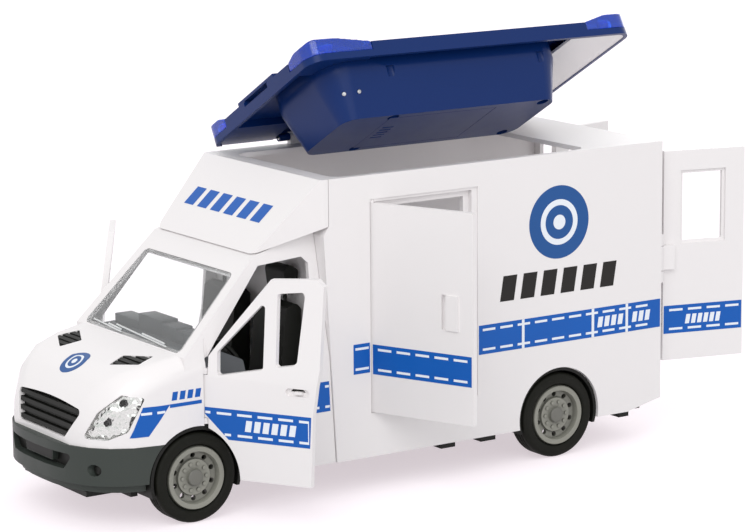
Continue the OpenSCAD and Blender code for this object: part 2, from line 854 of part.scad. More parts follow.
module box_shell() {
  inner = box_half - wall;
  color(white) difference() {
    union() {
      difference() {
        across(-box_half, box_half) polygon(box_outline(0));
        across(-inner, inner) offset(delta = -wall) polygon(box_outline(10));
      }
      intersection() {
        side_doorway(box_half - 2 * jamb_t, box_half, 2 * jamb_t);
        across(0, box_half) polygon(box_outline(0));
      }
      both_sides() rear_ears();
      lid_ears_on_roof();
      for (x = [for (k = [0 : 3]) opening_front + (opening_rear - opening_front) * (0.2 + 0.196 * k)])
        block([x - 0.7, inner - 2, door_high_z + 1], [x + 0.7, inner + 1, roof_z - 1]);
      for (p = box_posts) {
        screw_post(p, floor_z - floor_t - plate_top - free_gap);
        post_web(p, box_half - 1, floor_z - floor_t - plate_top - free_gap);
      }
    }
    side_doorway(box_half - door_t - door_gap, box_half + cut, 0);
    side_doorway(box_half - 20, box_half + cut, -jamb_t);
    block([side_door_end - door_gap - jamb_t, box_half - 0.8, door_low_z],
      [box_front - 22, box_half + cut, door_high_z + 1.4]);
    translate([side_hinge_x, side_hinge_y, door_low_z - peg_l - 0.2])
      cylinder(r = peg_r + run_gap, h = door_high_z - door_low_z + 2 * peg_l + 0.4);
    block([box_rear - cut, -rear_half, door_low_z], [box_rear + 10, rear_half, rear_door_top]);
    both_sides() translate([rear_pin_x, rear_pin_y, rear_lug_z - ear_h - 2])
      cylinder(r = rear_pin_r + seat_gap, h = rear_lug_h + 2 * ear_h + 4);
    bar_x(lid_barrel_from, lid_barrel_to, lid_pin_y, lid_pin_z, lid_pin_r + seat_gap);
    both_sides() bar_y(rear_x, axle_z, arch_r, liner_in - 4, 60);
    translate([0, 0, roof_z - 10]) linear_extrude(20) rounded(6) polygon([[opening_rear, opening_far],
      [opening_front, opening_far], [opening_front, opening_near], [opening_rear, opening_near]]);
    for (p = box_posts) translate([p[0], p[1], plate_top - cut]) cylinder(r = screw_r + seat_gap, h = 11);
  }
}

module box_floor() {
  inner = box_half - wall - free_gap;
  color("#d8d6d6") difference() {
    block([box_rear + wall + 3.4, -inner, floor_z - floor_t], [seam_low - wall - 3, inner, floor_z]);
    both_sides() bar_y(rear_x, axle_z, arch_r + free_gap, liner_in - liner_t - free_gap, 60);
    side_doorway(box_half - 2 * jamb_t - free_gap, 60, 2 * jamb_t + free_gap);
  }
}

// Side door, shut
module side_door_shut() {
  low = door_low_z + door_gap;
  high = door_high_z - door_gap;
  difference() {
    block([side_door_end, box_half - door_t, low], [side_hinge_x, box_half, high]);
    block([side_door_end + 4, box_half - door_t - cut, low + 4],
      [side_hinge_x - 4, box_half - door_t + 1, high - 4]);
    block([handle_x, box_half - 1.6, handle_z], [handle_x + 9, box_half + cut, handle_z + handle_h]);
  }
  translate([side_hinge_x, side_hinge_y, low]) cylinder(r = door_t / 2, h = high - low);
  translate([side_hinge_x, side_hinge_y, door_low_z - peg_l])
    cylinder(r = peg_r, h = door_high_z - door_low_z + 2 * peg_l);
  block([handle_x, box_half - 1.7, handle_z], [handle_x + 6.4, box_half + 0.8, handle_z + handle_h]);
}

module side_door() {
  color(white) swing(side_hinge_x, side_hinge_y, -side_door_open) side_door_shut();
}

// Left rear door, shut
module rear_door_shut() {
  edge = rear_half - door_gap;
  low = door_low_z + door_gap;
  high = rear_door_top - door_gap;
  window_low = low + 59;
  difference() {
    union() {
      block([box_rear, door_gap, low], [box_rear + door_t, edge, high]);
      block([rear_pin_x + 0.3, edge - 5, rear_lug_z], [box_rear + cut, edge, rear_lug_z + rear_lug_h]);
      block([rear_pin_x - 0.2, edge - 5, rear_lug_z],
        [rear_pin_x + 1.4, rear_pin_y, rear_lug_z + rear_lug_h]);
      translate([rear_pin_x, rear_pin_y, rear_lug_z]) cylinder(r = barrel_r, h = rear_lug_h);
    }
    block([box_rear - cut, edge - 31.5, window_low], [box_rear + 10, edge - 10.5, window_low + 33]);
    block([box_rear - cut, edge - 33, window_low - 1.5], [box_rear + 1.2, edge - 9, window_low + 34.5]);
    block([box_rear + door_t - 1, 4, low + 4], [box_rear + 10, edge - 4, window_low - 5]);
    translate([rear_pin_x, rear_pin_y, rear_lug_z - cut])
      cylinder(r = rear_pin_r + run_gap, h = rear_lug_h + 2);
  }
}

module rear_door_left() {
  color(white) swing(rear_pin_x, rear_pin_y, -rear_door_open) rear_door_shut();
}

module rear_door_right() {
  color(white) mirror([0, 1, 0]) swing(rear_pin_x, rear_pin_y, -rear_door_open) rear_door_shut();
}

module rear_door_pins() {
  color("silver") both_sides() translate([rear_pin_x, rear_pin_y, rear_lug_z - free_gap - ear_h])
    cylinder(r = rear_pin_r, h = rear_lug_h + 2 * ear_h + 2 * free_gap);
}

// Roof lid, drawn shut and then turned by on_lid()

// Plan of the lid
module lid_plan(inset) {
  offset(delta = -inset) rounded(lid_corner_r) polygon([[lid_rear, lid_far], [lid_front, lid_far],
    [lid_front, lid_near], [lid_rear, lid_near]]);
}

// Plan of one corner lamp's seat: front or rear, left or right
module lamp_plan(front, left, grow) {
  l = (front ? lamp_front_l : lamp_rear_l) + grow;
  x = front ? lid_front - l : lid_rear - cut;
  y = left ? lid_near - lamp_w - grow : lid_far - cut;
  translate([x, y]) square([l + cut, lamp_w + grow + cut]);
}

module lid_shut() {
  difference() {
    union() {
      difference() {
        translate([0, 0, lid_bottom]) linear_extrude(lid_h) lid_plan(0);
        translate([0, 0, lid_bottom - cut]) linear_extrude(lid_h - lid_wall + cut) lid_plan(lid_wall);
        for (front = [true, false]) for (left = [true, false])
          translate([0, 0, lamp_floor]) linear_extrude(20) lamp_plan(front, left, 0);
        block([lid_rear - cut, lid_far - cut, lid_bottom - cut],
          [lid_front + cut, lid_far + lid_wall + 1, lid_pin_z]);
      }
      for (front = [true, false]) for (left = [true, false])
        translate([0, 0, lamp_floor - lamp_seat_t]) linear_extrude(lamp_seat_t) intersection() {
          lid_plan(0);
          lamp_plan(front, left, lamp_seat_t);
        }
      for (front = [true, false]) for (left = [true, false])
        translate([0, 0, lamp_floor]) linear_extrude(lid_top - lamp_floor) difference() {
          intersection() {
            lid_plan(0);
            lamp_plan(front, left, lamp_seat_t);
          }
          lamp_plan(front, left, 0);
        }
      bar_x(lid_barrel_from, lid_barrel_to, lid_pin_y, lid_pin_z, lid_barrel_r);
      block([lid_front - 12, -17, lid_top - 1], [lid_front - 0.6, 18, lid_top + 2]);
    }
    for (x = lid_ears) block([x - lid_ear_w / 2 - free_gap, lid_far - cut, lid_bottom - cut],
      [x + lid_ear_w / 2 + free_gap, lid_pin_y + lid_barrel_r + 1.2, lid_pin_z + lid_barrel_r + free_gap]);
    bar_x(lid_barrel_from - cut, lid_barrel_to + cut, lid_pin_y, lid_pin_z, lid_pin_r + run_gap);
    block([lid_front - 4, -11, lid_top - 2.2], [lid_front + cut, 12, lid_top + 0.6]);
  }
}

module roof_lid() {
  color(blue) on_lid() lid_shut();
}

module lid_hinge_pin() {
  color("silver") on_lid() bar_x(lid_barrel_from, lid_barrel_to, lid_pin_y, lid_pin_z, lid_pin_r);
}

module lid_liner() {
  color("#e9e6ea") on_lid() translate([0, 0, lid_bottom + 0.3]) linear_extrude(1.2) difference() {
    offset(delta = -seat_gap) lid_plan(lid_wall);
    translate([housing_rear - 2, lid_far - cut]) square([lid_l, box_w + 10]);
    translate([lid_rear - cut, lid_far - cut]) square([lid_l + 2 * cut, lid_pin_y + 4 - lid_far + cut]);
  }
}

// Corner lamp that fills its seat and rises above the lid
module lamp_lens(front, left) {
  end_x = front ? lid_front : lid_rear;
  turn = front ? 1 : -1;
  l = (front ? lamp_front_l : lamp_rear_l) - seat_gap;
  edge_y = left ? lid_near : lid_far;
  side = left ? 1 : -1;
  low = lamp_floor + seat_gap;
  peak = lid_top + lamp_rise;
  difference() {
    intersection() {
      translate([0, 0, low]) linear_extrude(20) intersection() {
        lid_plan(0);
        lamp_plan(front, left, -seat_gap);
      }
      across(-80, 80) polygon([[end_x + turn, low - cut], [end_x + turn, peak - 2.2],
        [end_x - turn * 3, peak - 0.4], [end_x - turn * 8, peak], [end_x - turn * 14, peak - 0.6],
        [end_x - turn * l, lid_top + 0.3],
        [end_x - turn * l, low - cut]]);
      along(lid_rear - cut, lid_front + cut) polygon([[edge_y + side, low - cut], [edge_y + side, peak - 1.4],
        [edge_y - side * 2.5, peak], [edge_y - side * 9, peak], [edge_y - side * lamp_w, lid_top + 0.3],
        [edge_y - side * lamp_w, low - cut]]);
    }
    translate([end_x - turn * 13, edge_y - side * 9, low - cut]) cylinder(r = 4.2, h = 6.4);
  }
}

module lamp_front_left() {
  color(lamp_blue, 0.8) on_lid() lamp_lens(true, true);
}

module lamp_front_right() {
  color(lamp_blue, 0.8) on_lid() lamp_lens(true, false);
}

module lamp_rear_left() {
  color(lamp_blue, 0.8) on_lid() lamp_lens(false, true);
}

module lamp_rear_right() {
  color(lamp_blue, 0.8) on_lid() lamp_lens(false, false);
}

// Lamp LEDs standing on the lamp seats
module lamp_leds() {
  color("white") on_lid() for (front = [true, false]) for (left = [true, false])
    translate([front ? lid_front - 13 : lid_rear + 13, left ? lid_near - 9 : lid_far + 9,
      lamp_floor + seat_gap]) {
      cylinder(r = 2.5, h = 2.6);
      translate([0, 0, 2.6]) sphere(r = 2.4);
    }
}

// Electronics housing under the lid
module housing_plan(inset) {
  offset(delta = -inset) rounded(housing_r) polygon([[housing_rear, housing_far],
    [housing_front, housing_far], [housing_front, housing_near], [housing_rear, housing_near]]);
}

// Tapered form of the housing, shrunk by inset, with its floor at low
module housing_form(inset, low, high) {
  hull() {
    translate([0, 0, lid_bottom - 4]) linear_extrude(high - lid_bottom + 4) housing_plan(inset);
    translate([0, 0, low]) linear_extrude(0.02) housing_plan(housing_draft + inset);
  }
}

housing_screw_at = [[housing_front - 34, housing_near - 9.5], [housing_rear + 14, housing_near - 9.5],
  [housing_front - 34, housing_far + 9.5], [housing_rear + 14, housing_far + 9.5]];

module lid_housing() {
  color(blue) on_lid() difference() {
    union() {
      difference() {
        housing_form(0, housing_bottom, housing_top - seat_gap);
        housing_form(lid_wall, housing_bottom + lid_wall, housing_top + cut);
      }
      for (p = housing_screw_at) translate([p[0], p[1], housing_bottom + 3])
        cylinder(r = 3.4, h = housing_top - seat_gap - housing_bottom - 3);
    }
    for (p = housing_screw_at) {
      translate([p[0], p[1], housing_bottom - cut]) cylinder(r = screw_r + seat_gap, h = 60);
      translate([p[0], p[1], housing_bottom - cut]) cylinder(r = screw_head_r + 0.3, h = 9 + cut);
    }
    block([cell_x - cover_l / 2, cell_y - cover_w / 2, housing_bottom - cut],
      [cell_x + cover_l / 2, cell_y + cover_w / 2, housing_bottom + lid_wall + 0.5]);
    for (left = [true, false]) translate([0, 0, lamp_floor - lamp_seat_t - seat_gap]) linear_extrude(20)
      lamp_plan(true, left, lamp_seat_t + seat_gap);
    for (x = [housing_front - 34, housing_rear + 14]) translate([x, housing_near + 0.9, lid_bottom - 7])
      cylinder(r = 2.4, h = 5);
  }
}

module battery_cover() {
  color(blue) on_lid() difference() {
    block([cell_x - cover_l / 2 + 0.15, cell_y - cover_w / 2 + 0.15, housing_bottom],
      [cell_x + cover_l / 2 - 0.15, cell_y + cover_w / 2 - 0.15, housing_bottom + lid_wall]);
    for (k = [-2 : 2]) block([cell_x + cover_l / 2 - 9, cell_y + 3 * k - 0.5, housing_bottom - cut],
      [cell_x + cover_l / 2 - 3, cell_y + 3 * k + 0.5, housing_bottom + 0.5]);
  }
}

// Three cells side by side along the van
module battery_cells() {
  color("#b08d2a") on_lid() for (k = [-1 : 1]) translate([cell_x, cell_y + k * cell_pitch, cell_z]) {
    bar_x(-cell_l / 2, cell_l / 2 - 1.2, 0, 0, cell_r);
    bar_x(cell_l / 2 - 1.3, cell_l / 2, 0, 0, cell_r * 0.36);
  }
}

module battery_contacts() {
  color("silver") on_lid() for (s = [-1, 1]) for (k = [-1 : 1])
    translate([cell_x + s * (cell_l / 2 + contact_t / 2 + 0.1), cell_y + k * cell_pitch, cell_z])
      cube([contact_t, 9, 10], center = true);
}

module circuit_board() {
  color("#2c6e3f") on_lid() {
    block([housing_rear + 46, housing_far + 14, board_z],
      [housing_front - 40, housing_near - 14, board_z + 1.6]);
    for (p = [[8, 4], [22, 12], [34, 6]])
      translate([housing_rear + 46 + p[0], housing_far + 16 + p[1], board_z + 1.5]) cube([6, 5, 1.6]);
    for (x = [housing_rear + 48, housing_front - 42], y = [housing_far + 16, housing_near - 16])
      translate([x, y, board_z + 1]) cylinder(r = 1.2, h = housing_top - seat_gap - board_z - 1);
  }
}

module speaker() {
  color("#2b2c2e") on_lid() translate([speaker_x, cell_y, housing_bottom + lid_wall + 0.1]) difference() {
    union() {
      cylinder(r = speaker_r, h = 3);
      cylinder(r1 = speaker_r - 1, r2 = 7, h = 8);
      cylinder(r = 6.5, h = 11);
    }
    translate([0, 0, -0.01]) cylinder(r1 = speaker_r - 2, r2 = 4, h = 5);
  }
}

module housing_screws() {
  color("silver") on_lid() for (p = housing_screw_at)
    translate([p[0], p[1], housing_bottom + 9 - screw_head_h]) {
      cylinder(r = screw_r, h = 14);
      cylinder(r = screw_head_r, h = screw_head_h);
    }
}

// Running gear
module axle(x) {
  bar_y(x, axle_z, axle_r, -wheel_out + rim_dish + 1.4, wheel_out - rim_dish - 1.4);
}

module front_axle() {
  color("silver") axle(0);
}

module rear_axle() {
  color("silver") axle(rear_x);
}

// Tyre on the left side, open in the middle
module tyre(x) {
  r0 = rim_r + seat_gap;
  translate([x, wheel_in, axle_z]) rotate([-90, 0, 0]) difference() {
    rotate_extrude($fn = 96) polygon([
      [r0, 0.8], [r0 + 1, 0], [tyre_r - 2.2, 0], [tyre_r - 0.6, 0.7], [tyre_r, 2], [tyre_r, tyre_w - 2],
      [tyre_r - 0.6, tyre_w - 0.7], [tyre_r - 2.2, tyre_w], [r0 + 1.4, tyre_w], [r0 + 0.6, tyre_w - 0.5],
      [r0, tyre_w - 1.4]
    ]);
    for (z = [0.32, 0.5, 0.68]) translate([0, 0, z * tyre_w - 0.35]) difference() {
      cylinder(r = tyre_r + cut, h = 0.7);
      translate([0, 0, -cut]) cylinder(r = tyre_r - 0.6, h = 3);
    }
  }
}

// Rim on the left side: a dished disc with holes, a bolt ring and a hub cap
module rim(x) {
  face = tyre_w - rim_dish;
  translate([x, wheel_in, axle_z]) rotate([-90, 0, 0]) difference() {
    union() {
      rotate_extrude($fn = 96) polygon([
        [0, face - 4], [3.4, face - 4], [3.4, face - 2], [rim_r - 2.2, face - 2.6], [rim_r - 2, 0.4],
        [rim_r, 0.4], [rim_r, tyre_w - 0.9], [rim_r - 0.5, tyre_w - 0.1], [rim_r - 2.6, tyre_w - 0.4],
        [rim_r - 3.3, face - 0.2], [rim_r - 6, face - 0.6], [rim_r - 6.4, face + 0.6], [4, face + 0.6],
        [3.6, face + 1.6], [2.4, face + 2.1], [0, face + 2.2]
      ]);
      for (k = [0 : rim_bolts - 1]) rotate([0, 0, 360 * k / rim_bolts]) translate([6.1, 0, face])
        cylinder(r = 0.8, h = 1.2, $fn = 16);
    }
    translate([0, 0, -20]) cylinder(r = axle_r + seat_gap, h = 20 + face - 1);
    for (k = [0 : rim_bolts - 1]) rotate([0, 0, 360 * (k + 0.5) / rim_bolts])
      translate([rim_r - 4.7, 0, -cut]) cylinder(r = 1.2, h = 30, $fn = 24);
  }
}

module tyre_front_left() {
  color(black) tyre(0);
}

module tyre_front_right() {
  color(black) mirror([0, 1, 0]) tyre(0);
}

module tyre_rear_left() {
  color(black) tyre(rear_x);
}

module tyre_rear_right() {
  color(black) mirror([0, 1, 0]) tyre(rear_x);
}

module rim_front_left() {
  color(rim_grey) rim(0);
}

module rim_front_right() {
  color(rim_grey) mirror([0, 1, 0]) rim(0);
}

module rim_rear_left() {
  color(rim_grey) rim(rear_x);
}

module rim_rear_right() {
  color(rim_grey) mirror([0, 1, 0]) rim(rear_x);
}

// Friction drive

// Point at radius r on a tooth flank, at half angle a
function flank(r, a) = [r * cos(a), r * sin(a)];

// Gear outline with straight-sided teeth that thin towards the tip
function gear_outline(teeth) =
  let (p = gear_m * teeth / 2, tip = p + 0.9 * gear_m, root = p - 1.2 * gear_m, step = 360 / teeth)
  [for (k = [0 : teeth - 1])
    for (q = [[root, -0.34], [p, -0.225], [tip, -0.1], [tip, 0.1], [p, 0.225], [root, 0.34]])
      flank(q[0], (k + q[1]) * step)];

// Gear on a shaft across the van, from y0 to y1, turned by a
module gear(x, teeth, y0, y1, a) {
  translate([x, y1, axle_z]) rotate([90, 0, 0]) linear_extrude(y1 - y0) rotate([0, 0, a])
    polygon(gear_outline(teeth));
}

module axle_gear() {
  color("#e8e4d8") difference() {
    gear(rear_x, wheel_teeth, -gear_w / 2, gear_w / 2, 0);
    bar_y(rear_x, axle_z, axle_r + seat_gap, -20, 20);
  }
}

module compound_gear() {
  color("#e8e4d8") {
    gear(counter_x, pinion_teeth, -gear_w / 2 - 0.5, gear_w / 2 + 0.6, 180 / pinion_teeth);
    gear(counter_x, wheel_teeth, gear_w / 2 + 0.6, gear_w / 2 + 3.6, 0);
    bar_y(counter_x, axle_z, shaft_r, -casing_half_w + 0.1, casing_half_w - 0.1);
  }
}

module flywheel() {
  color("#8a8d8f") {
    gear(fly_x, pinion_teeth, gear_w / 2 + 0.2, gear_w / 2 + 4, 180 / pinion_teeth);
    bar_y(fly_x, axle_z, flywheel_r, -casing_half_w + casing_wall + 0.8, -gear_w / 2 - 1);
    bar_y(fly_x, axle_z, shaft_r, -casing_half_w + 0.1, casing_half_w - 0.1);
  }
}

// Half of the drive casing, left side
module casing_half() {
  difference() {
    across(0, casing_half_w) hull() {
      translate([rear_x, axle_z]) circle(r = casing_r);
      translate([fly_x, axle_z]) circle(r = casing_r);
    }
    across(-cut, casing_half_w - casing_wall) hull() {
      translate([rear_x, axle_z]) circle(r = casing_r - casing_wall);
      translate([fly_x, axle_z]) circle(r = casing_r - casing_wall);
    }
    bar_y(rear_x, axle_z, axle_r + run_gap, -20, 20);
    for (x = [counter_x, fly_x]) bar_y(x, axle_z, shaft_r + run_gap, -20, 20);
  }
}

module motor_casing_left() {
  color(dark_grey) casing_half();
}

module motor_casing_right() {
  color(dark_grey) mirror([0, 1, 0]) casing_half();
}

placed() chassis();
placed() chassis_screws();
placed() front_bumper();
placed() cab_shell();
placed() grille();
placed() bonnet_vents();
placed() headlight_reflector_left();
placed() headlight_reflector_right();
placed() headlight_lens_left();
placed() headlight_lens_right();
placed() windscreen();
placed() roof_fairing();
placed() dashboard();
placed() steering_wheel();
placed() seat_left();
placed() seat_right();
placed() cab_floor();
placed() box_shell();
placed() box_floor();
placed() cab_door_pins();
placed() rear_door_pins();
placed() lid_hinge_pin();
placed() cab_door_left();
placed() cab_door_right();
placed() side_door();
placed() rear_door_left();
placed() rear_door_right();
placed() roof_lid();
placed() lid_liner();
placed() lamp_front_left();
placed() lamp_front_right();
placed() lamp_rear_left();
placed() lamp_rear_right();
placed() lid_housing();
placed() battery_cover();
placed() battery_cells();
placed() battery_contacts();
placed() circuit_board();
placed() speaker();
placed() lamp_leds();
placed() housing_screws();
placed() front_axle();
placed() rear_axle();
placed() tyre_front_left();
placed() tyre_front_right();
placed() tyre_rear_left();
placed() tyre_rear_right();
placed() rim_front_left();
placed() rim_front_right();
placed() rim_rear_left();
placed() rim_rear_right();
placed() motor_casing_left();
placed() motor_casing_right();
placed() axle_gear();
placed() compound_gear();
placed() flywheel();
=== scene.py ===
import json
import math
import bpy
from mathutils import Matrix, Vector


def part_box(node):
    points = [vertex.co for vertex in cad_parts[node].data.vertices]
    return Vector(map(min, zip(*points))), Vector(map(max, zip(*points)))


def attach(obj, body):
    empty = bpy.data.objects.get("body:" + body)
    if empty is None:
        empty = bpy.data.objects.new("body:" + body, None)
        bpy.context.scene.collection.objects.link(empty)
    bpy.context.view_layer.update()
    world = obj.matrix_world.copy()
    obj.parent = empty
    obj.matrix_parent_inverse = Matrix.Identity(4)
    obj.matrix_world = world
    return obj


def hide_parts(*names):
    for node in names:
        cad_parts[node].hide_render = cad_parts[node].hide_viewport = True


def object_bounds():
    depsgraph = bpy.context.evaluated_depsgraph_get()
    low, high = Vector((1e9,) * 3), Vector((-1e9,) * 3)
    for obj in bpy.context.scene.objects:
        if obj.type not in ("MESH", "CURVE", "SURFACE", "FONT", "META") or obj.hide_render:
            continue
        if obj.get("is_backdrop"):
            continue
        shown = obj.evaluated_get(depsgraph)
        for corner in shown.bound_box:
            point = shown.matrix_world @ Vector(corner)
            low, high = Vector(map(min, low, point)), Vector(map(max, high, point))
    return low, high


bl_info = {
    "name": "Toy box van",
    "version": (1, 0, 0),
    "blender": (4, 5, 0),
    "location": "View3D > Sidebar > Toy van",
    "description": "Dresses the packed solids of a toy box van in moulded plastic, rubber, glass and vinyl",
    "category": "Object",
}

import bpy
from mathutils import Matrix, Vector

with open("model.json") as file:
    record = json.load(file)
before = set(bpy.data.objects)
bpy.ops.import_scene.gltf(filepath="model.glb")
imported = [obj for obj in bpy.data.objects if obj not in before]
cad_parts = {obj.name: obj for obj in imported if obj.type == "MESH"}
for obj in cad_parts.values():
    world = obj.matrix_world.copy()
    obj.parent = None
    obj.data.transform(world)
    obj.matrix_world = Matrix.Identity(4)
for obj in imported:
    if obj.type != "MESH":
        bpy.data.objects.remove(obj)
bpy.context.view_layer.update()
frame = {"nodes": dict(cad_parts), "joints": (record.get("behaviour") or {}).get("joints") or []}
MM = 0.001

# Outer faces of the load box and the cab, in mm from the van's middle
BOX_SIDE = (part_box("box_shell")[1] / MM).y
CAB_SIDE = (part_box("cab_shell")[1] / MM).y
JOINTS = {joint["name"]: joint for joint in frame["joints"]}
# How far each door stands open at rest, in degrees
DOOR_OPEN = {"cab_door_left_hinge": 59, "side_door_hinge": 67, "rear_door_left_hinge": 104}
# On moulded plastic, in mm: size of the slow changes of tint, size of faint scuffs, depth of a matt grain
FLOW, SCUFF, GRAIN_DEPTH = 45, 12, 0.02
# Points of a solid nearer than this in metres are one, and so are faces that turn less than this in degrees
WELD, FLAT_TURN = 2e-6, 0.5
# A film that follows a moulding: its gap in metres, and the cuts and rings that let it bend
WRAP_GAP, WRAP_CUTS, WRAP_RINGS = 0.03 * MM, 12, 7


def linear(code):
    """Turns an sRGB hex value into linear red, green and blue."""
    parts = [int(code[i:i + 2], 16) / 255 for i in (1, 3, 5)]
    return [c / 12.92 if c <= 0.04045 else ((c + 0.055) / 1.055) ** 2.4 for c in parts]


# Settings


class ToyVanSizes(bpy.types.PropertyGroup):
    """Sizes of the printed stickers and of the moulded edges."""

    edge: bpy.props.FloatProperty(
        name="Moulded edge", description="Radius on the edges of the mouldings", default=0.35 * MM,
        min=0.0, unit="LENGTH")
    sticker: bpy.props.FloatProperty(
        name="Sticker thickness", description="Thickness of the vinyl film", default=0.08 * MM,
        min=0.0, unit="LENGTH")
    band: bpy.props.FloatProperty(
        name="Band height", description="Height of the blue band", default=13.9 * MM, unit="LENGTH")
    dash: bpy.props.FloatProperty(
        name="Dash length", description="Length of a white dash", default=7.2 * MM, unit="LENGTH")
    dash_step: bpy.props.FloatProperty(
        name="Dash spacing", description="From one white dash to the next", default=10.1 * MM,
        unit="LENGTH")
    dash_height: bpy.props.FloatProperty(
        name="Dash height", description="Height of a white dash", default=1.1 * MM, unit="LENGTH")


class ToyVanColours(bpy.types.PropertyGroup):
    """Colours of the mouldings and the stickers."""

    body: bpy.props.FloatVectorProperty(
        name="Body", description="White of the body mouldings", subtype="COLOR", size=3,
        default=linear("#EFECEC"))
    lid: bpy.props.FloatVectorProperty(
        name="Lid", description="Blue of the roof lid", subtype="COLOR", size=3,
        default=linear("#0A2B66"))
    lamp: bpy.props.FloatVectorProperty(
        name="Lamps", description="Blue of the lamp lenses", subtype="COLOR", size=3,
        default=linear("#1462F2"))
    band: bpy.props.FloatVectorProperty(
        name="Band", description="Blue of the printed band", subtype="COLOR", size=3,
        default=linear("#0A5CB6"))
    bumper: bpy.props.FloatVectorProperty(
        name="Bumper", description="Grey of the bumper", subtype="COLOR", size=3,
        default=linear("#373D39"))
    rim: bpy.props.FloatVectorProperty(
        name="Rims", description="Grey of the wheel rims", subtype="COLOR", size=3,
        default=linear("#8E8E84"))


# Materials


def add_node(tree, kind, inputs=None, **settings):
    """Adds a node, sets its options, and fills its inputs with values or links."""
    node = tree.nodes.new(kind)
    for key, value in settings.items():
        setattr(node, key, value)
    for key, value in (inputs or {}).items():
        if isinstance(value, bpy.types.NodeSocket):
            tree.links.new(value, node.inputs[key])
        else:
            node.inputs[key].default_value = value
    return node


def noise(tree, place, size, detail):
    """Noise in patches of a size in mm."""
    return add_node(tree, "ShaderNodeTexNoise", {
        "Vector": place, "Scale": 1 / (size * MM), "Detail": detail}).outputs["Fac"]


def spread(tree, value, low, high, start=0.3, end=0.7):
    """Spreads a value over low to high. Most of a noise lies between the usual start and end."""
    return add_node(tree, "ShaderNodeMapRange", {
        "Value": value, "From Min": start, "From Max": end, "To Min": low,
        "To Max": high}).outputs["Result"]


def multiply(tree, colour, shade):
    """A colour, darkened by a shade."""
    return add_node(tree, "ShaderNodeMix", {"Factor": 1.0, "A": colour, "B": shade}, data_type="RGBA",
                    blend_type="MULTIPLY").outputs["Result"]


def blank(name):
    """A new material with its tree, its shader and the place on the object."""
    material = bpy.data.materials.new(name)
    material.use_nodes = True
    tree = material.node_tree
    place = add_node(tree, "ShaderNodeTexCoord").outputs["Object"]
    return material, tree, tree.nodes["Principled BSDF"], place


def moulded(name, colour, roughness, ior=1.53, drift=0.03, peel=0.9, peel_depth=0.008, grain=0.0,
            painted_shade_reach=0.0, **extra):
    """Plastic from a steel mould. drift is the slow change of tint, peel the size in mm of the faint
    ripple of a polished mould, and grain the size in mm of a spark-eroded mould's matt texture. The
    real grain is under 0.1 mm and would not show, so it is drawn coarser. Hollows within a reach given
    in mm are painted darker by an ambient-occlusion node, as painted shade."""
    material, tree, shader, place = blank(name)
    shader.inputs["Base Color"].default_value = (*colour, 1.0)
    if drift:
        base = multiply(tree, (*colour, 1.0), spread(tree, noise(tree, place, FLOW, 1.0), 1 - drift, 1.0))
        # Painted shade: an ambient-occlusion node darkens the colour in hollows, where less light reaches
        if painted_shade_reach:
            painted_shade = add_node(tree, "ShaderNodeAmbientOcclusion", {"Distance": painted_shade_reach * MM})
            base = multiply(tree, base, spread(tree, painted_shade.outputs["AO"], 0.3, 1.0, 0.35, 0.95))
        tree.links.new(base, shader.inputs["Base Color"])
    rough = spread(tree, noise(tree, place, SCUFF, 2.0), roughness * 0.94, roughness * 1.06)
    tree.links.new(rough, shader.inputs["Roughness"])
    bump = add_node(tree, "ShaderNodeBump", {
        "Strength": 0.6 if grain else 0.2, "Distance": (GRAIN_DEPTH if grain else peel_depth) * MM,
        "Height": noise(tree, place, grain or peel, 2.0)})
    tree.links.new(bump.outputs["Normal"], shader.inputs["Normal"])
    shader.inputs["IOR"].default_value = ior
    for key, value in extra.items():
        shader.inputs[key.replace("_", " ")].default_value = value
    return material


def metal(name, colour, roughness, brush=2.0, facet=0.0):
    """Bright metal, with marks brush apart in mm, and with small mirror facets where facet gives their
    size in mm."""
    material, tree, shader, place = blank(name)
    shader.inputs["Metallic"].default_value = 1.0
    shader.inputs["Base Color"].default_value = (*colour, 1.0)
    rough = spread(tree, noise(tree, place, brush, 4.0), roughness * 0.7, roughness * 1.3)
    tree.links.new(rough, shader.inputs["Roughness"])
    if facet:
        cells = add_node(tree, "ShaderNodeTexVoronoi", {"Vector": place, "Scale": 1 / (facet * MM)})
        bump = add_node(tree, "ShaderNodeBump", {
            "Strength": 0.8, "Distance": 0.25 * facet * MM, "Height": cells.outputs["Distance"]})
        tree.links.new(bump.outputs["Normal"], shader.inputs["Normal"])
    return material


